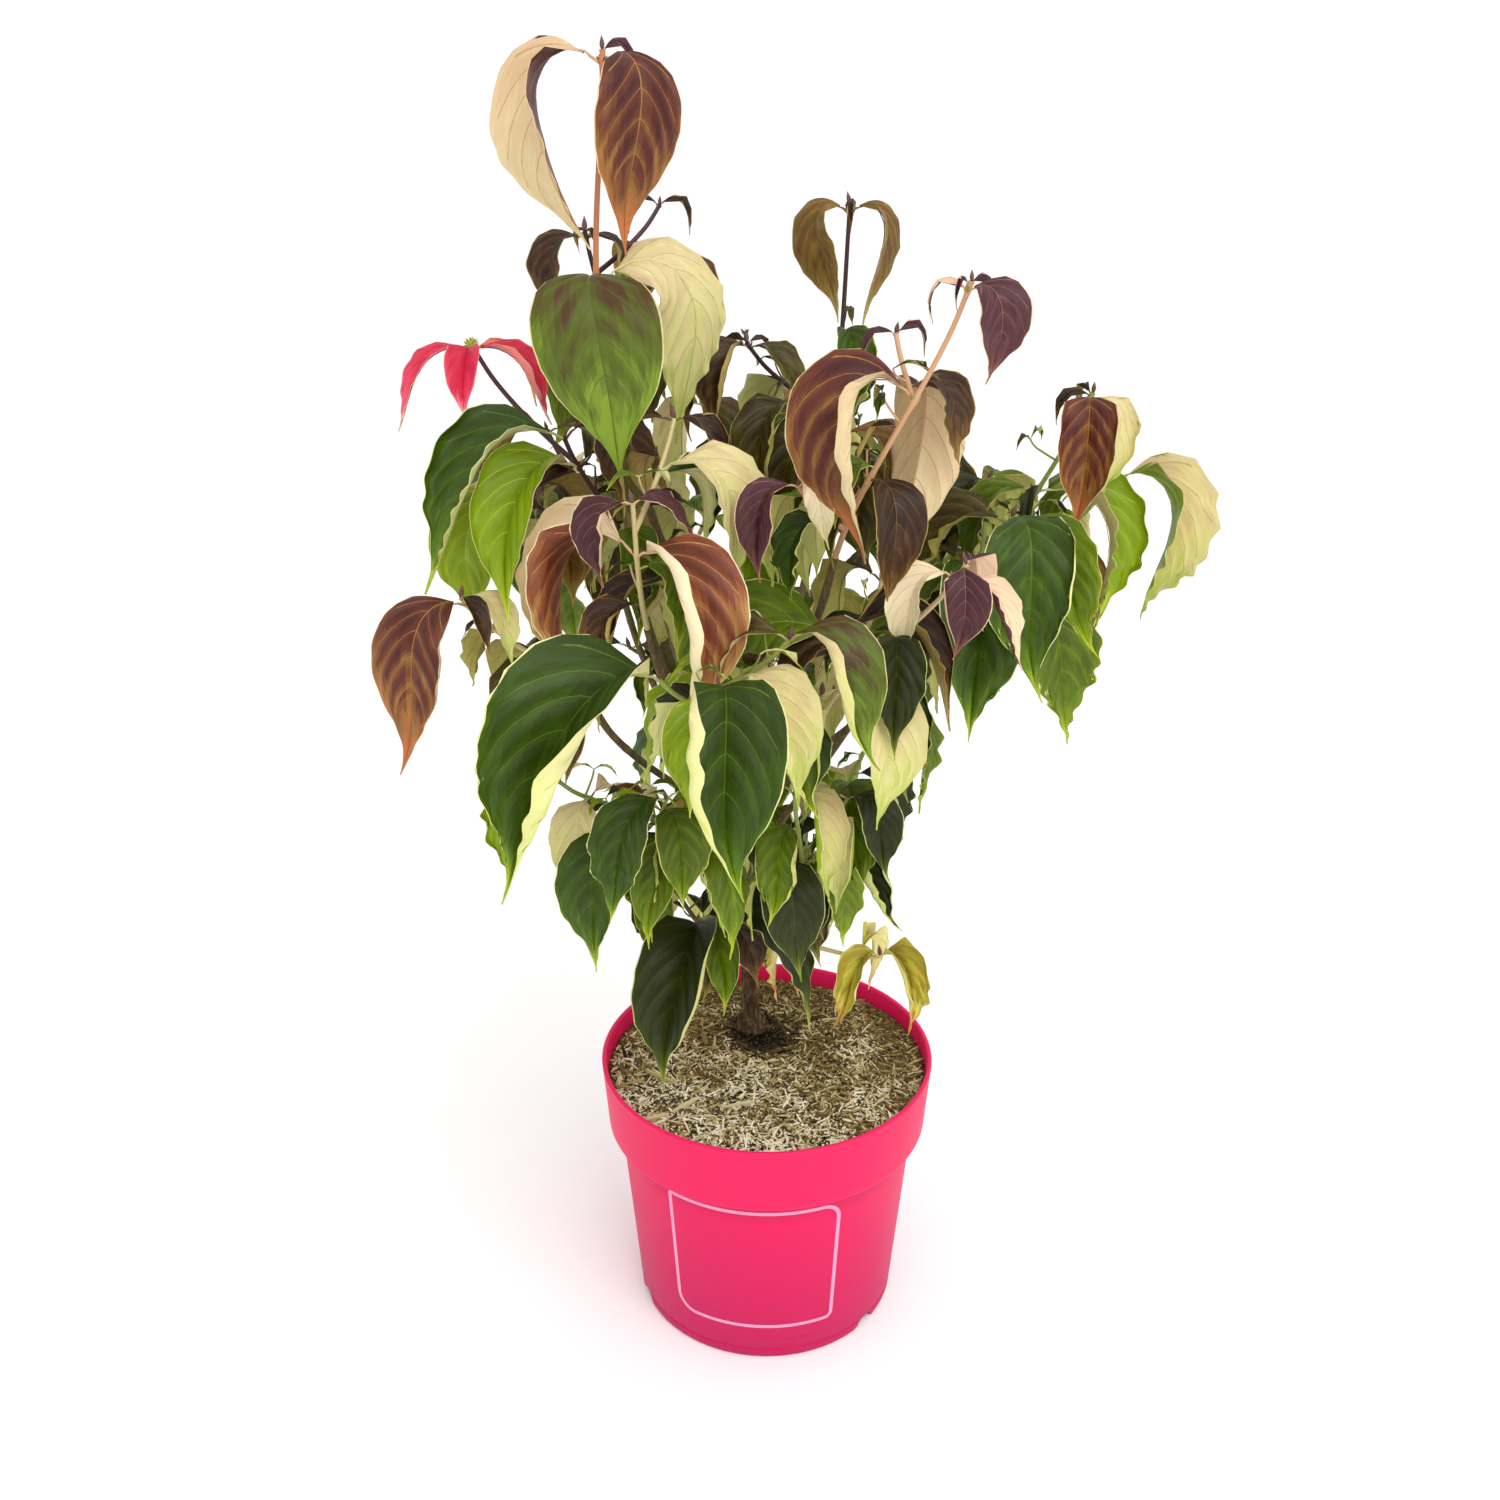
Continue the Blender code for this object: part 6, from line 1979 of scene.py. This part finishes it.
@dataclass
class Medium:
    """The growing medium and the wood chips that lie on it."""
    level: float = 160.0
    drop: float = 3.0
    shoulder: float = 66.0
    edge: float = 96.2
    foot: Span = (-10.0, 38.0)
    hollow_depth: float = 7.0
    splints: int = 14
    slivers: int = 2600
    crumbs: int = 6200
    crumb: float = 2.5
    rings: int = 80
    steps: int = 200
    # Dry chips from brown to pale; which tone a chip takes is partly painted light and shade
    dry: tuple[str, ...] = ("#66522C", "#836C3C", "#9C854E", "#B39F70", "#C8B98E", "#D9CDAA",
                            "#ECE3CB")
    damp: tuple[str, ...] = ("#18110B", "#2A1F14", "#3E2E1C", "#57432A")

    def height(self, x: float, y: float) -> float:
        """The medium's surface.

        Args:
            x: A place to the right of the pot's centre.
            y: How far behind the centre it lies.

        Returns:
            The height there.
        """
        out = math.hypot(x, y) - self.shoulder
        base = self.level - self.drop * max(0.0, out / (self.edge - self.shoulder))
        bumps = 1.1 * noise.noise(Vector((x * 0.07, y * 0.07, 3.0)))
        bumps += 0.6 * noise.noise(Vector((x * 0.25, y * 0.25, 8.0)))
        return base - 0.4 + bumps - self.hollow_depth * self.hollow(x, y)

    def hollow(self, x: float, y: float) -> float:
        """How deep a place lies in the damp hollow beside the trunk, from 0 to 1."""
        dx, dy = x - self.foot[0] - 7.0, y - self.foot[1] + 9.0
        ragged = 1 + 0.6 * noise.noise(Vector((x * 0.12, y * 0.12, 1.0)))
        return math.exp(-((dx / 14.0) ** 2 + (dy / 13.0) ** 2) * ragged)

    def build(self) -> None:
        """Make the medium and its chips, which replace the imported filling."""
        angles = np.arange(self.steps) * 2 * math.pi / self.steps
        rings = [(r, None) for r in np.linspace(0.001, 1, self.rings) * self.edge]
        rings += [(self.edge - 0.2, 140.0), (93.7, 130.6), (86.8, 127.8), (77.4, 3.4), (0.001, 3.4)]
        rows = [[(x, y, self.height(x, y) if z is None else z)
                 for x, y in ((r * math.cos(a), r * math.sin(a)) for a in angles)]
                for r, z in rings]
        batch = Batch("medium")
        batch.grid(np.array(rows), np.array(batch.tone(MediumFinish())), around=True)
        batch.piece("growing_medium", slot="growing_medium", crease=70)
        self.chips()

    def chips(self) -> None:
        """Make the slivers and crumbs of wood that cover the medium."""
        batch = Batch("wood_chips")
        dry, damp = self.dry, self.damp
        tones = {c: batch.tone(PlainFinish(f"chip_{c[1:].lower()}", c, 0.85, 0.2, Grain.FIBRE))
                 for c in dry + damp}
        rng = seeded("chips")
        for k in range(self.slivers + self.crumbs):
            out = math.sqrt(rng.random()) * (self.edge - 1.5)
            turn = rng.uniform(0, TURN)
            x, y = out * math.cos(turn), out * math.sin(turn)
            if k < self.splints:
                length, width = rng.uniform(14, 24), rng.uniform(1.8, 3.4)
            elif k < self.slivers:
                length = rng.choice((rng.uniform(3, 8), rng.uniform(3, 8), rng.uniform(7, 14)))
                width = rng.uniform(0.4, 1.3)
            else:
                length, width = rng.uniform(0.8, 2.3), rng.uniform(0.6, 1.6)
            hollow = self.hollow(x, y)
            near = math.hypot(x - self.foot[0], y - self.foot[1])
            wet = hollow * 2.4 + 0.4 * math.exp(-(near / 30) ** 2) + rng.uniform(-0.25, 0.3)
            drift = noise.noise(Vector((x * 0.045, y * 0.045, 6.0)))
            # Painted light and shade: chips are paler towards the front and darker towards the back, under
            # a drifting random tone
            pale = 0.5 - 0.0036 * y - 0.001 * x + 0.4 * drift + rng.uniform(-0.38, 0.38)
            colour = dry[max(0, min(int(pale * len(dry)), len(dry) - 1))]
            if wet > 0.42 or rng.random() < 0.06:
                colour = damp[min(int(rng.random() * (4.9 - 3.2 * min(1.0, hollow * 1.4))), 3)]
            self.chip(batch, Vector((x, y, self.height(x, y))), length, width, tones[colour], rng)
        batch.piece("growing_medium", slot="growing_medium", crease=25)

    def chip(self, batch: Batch, place: Vector, length: float, width: float, tone: int,
             rng: random.Random) -> None:
        """Add one chip: a splinter with ragged ends.

        Args:
            batch: What takes it.
            place: Where it lies.
            length: Its length.
            width: Its width.
            tone: Its finish's number.
            rng: What varies it.
        """
        way = (compass(rng.uniform(0, 360)) + UP * rng.uniform(-0.25, 0.35)).normalized()
        side = way.cross(UP).normalized()
        top = side.cross(way)
        thick = width * rng.uniform(0.35, 0.8)
        centre = place + UP * (thick * 0.5 + 0.2)
        reach = math.hypot(centre.x, centre.y) + length / 2
        if reach > self.edge - 0.5:
            centre = centre * ((self.edge - 0.5) / reach)
            centre.z = place.z + thick * 0.5 + 0.2
        corners = []
        ends = (-0.5, 0.1, 0.5) if length > self.crumb else (-0.5, 0.5)
        for end in ends:
            for a, b in ((-0.5, -0.5), (0.5, -0.5), (0.5, 0.5), (-0.5, 0.5)):
                slim = rng.uniform(0.35, 0.9) if end != 0.1 else 1.0
                jut = end + (rng.uniform(-0.08, 0.08) if end != 0.1 else 0.0)
                corners.append(centre + way * (length * jut) + side * (width * a * slim)
                               + top * (thick * b * slim))
        last = 4 * (len(ends) - 1)
        quads = [(0, 3, 2, 1), (last, last + 1, last + 2, last + 3)]
        quads += [(ring + i, ring + (i + 1) % 4, ring + 4 + (i + 1) % 4, ring + 4 + i)
                  for ring in range(0, last, 4) for i in range(4)]
        batch.add(np.array(corners), np.array(quads), np.full(len(quads), tone))


@dataclass
class Studio:
    """The pale floor, the soft lights and the camera, in metres."""
    eye: Spot = (-0.0102, -0.8167, 0.7293)
    pitch: float = 66.1
    lens: float = 38.4
    sensor: float = 36.0
    view_reach: float = 100.0
    floor_half: float = 45.0
    sky: Span = (0.2, 1.3)
    bright_side: Spot = (0.3, -0.5, 0.81)
    horizon: float = 1.1
    horizon_band: Span = (0.24, 0.36)
    key_place: Spot = (0.8, -1.5, 2.2)
    key_aim: Spot = (0.0, 0.0, 0.4)
    key_size: float = 1.5
    key_power: float = 22.0

    def build(self) -> None:
        """Set the floor, the softbox, the air and the camera."""
        scene = bpy.context.scene
        h = self.floor_half
        mesh = bpy.data.meshes.new("studio_floor")
        mesh.from_pydata([(-h, -h, 0), (h, -h, 0), (h, h, 0), (-h, h, 0)], [], [(0, 1, 2, 3)])
        mesh.materials.append(FloorFinish().material())
        self.hang("studio_floor", mesh, Matrix())
        lamp = bpy.data.lights.new("key_softbox", "AREA")
        lamp.shape = "SQUARE"
        lamp.size = self.key_size
        lamp.energy = self.key_power
        aim = (Vector(self.key_aim) - Vector(self.key_place)).to_track_quat("-Z", "Y")
        self.hang("key_softbox", lamp, Matrix.LocRotScale(Vector(self.key_place), aim, None))
        scene.world = self.air()
        scene.view_settings.view_transform = "Standard"
        camera = bpy.data.cameras.new("camera")
        camera.lens = self.lens
        camera.sensor_width = self.sensor
        camera.clip_end = self.view_reach
        scene.camera = self.hang("camera", camera, Matrix.Translation(Vector(self.eye))
                                 @ Matrix.Rotation(math.radians(self.pitch), 4, "X"))

    def hang(self, name: str, data: bpy.types.ID, place: Matrix) -> bpy.types.Object:
        """Put a mesh, a lamp or a camera into the scene.

        Args:
            name: The object's name.
            data: What it holds.
            place: Where it stands and how it is turned.

        Returns:
            The object.
        """
        thing = bpy.data.objects.new(name, data)
        thing.matrix_world = place
        bpy.context.scene.collection.objects.link(thing)
        return thing

    def air(self) -> bpy.types.World:
        """The studio's soft light, brightest from one side, over a pale wall all round.

        Returns:
            The world.
        """
        world = bpy.data.worlds.new("studio_air")
        low, top = self.horizon_band
        dress(world, {
            "facing": ("VectorMath", {"operation": "DOT_PRODUCT", 0: "where.0",
                                      1: self.bright_side}),
            "glow": ("MapRange", {"From Min": -1.0, "To Min": self.sky[0], "To Max": self.sky[1],
                                  "Value": "facing.1"}),
            "split": ("SeparateXYZ", {"Vector": "where.0"}),
            "wall": ("MapRange", {"From Min": low, "From Max": top, "To Min": self.horizon,
                                  "To Max": 0.0, "Value": "split.2"}),
            "strength": ("Math", {"operation": "MAXIMUM", 0: "glow", 1: "wall"}),
            "air": (LIGHT, {"Strength": "strength", "Color": linear("#FFFFFF")})})
        return world


def main() -> None:
    """Build the potted shrub, from the studio inward, and report each part."""
    logging.basicConfig(level=logging.INFO, format="%(name)s: %(message)s")
    Studio().build()
    LOG.info("studio set")
    Pot().build()
    Medium().build()
    crown = Crown()
    plan = crown.grow()
    crown.grow_spurs(plan)
    crown.grow_inner(plan)
    LOG.info("grown: %d leaves, %d fine twigs", sum(len(mass.leaves) for mass in plan.values()),
             sum(len(mass.spurs) for mass in plan.values()))
    Wood().build(plan)
    Foliage().build(plan)


if __name__ == "__main__":
    main()
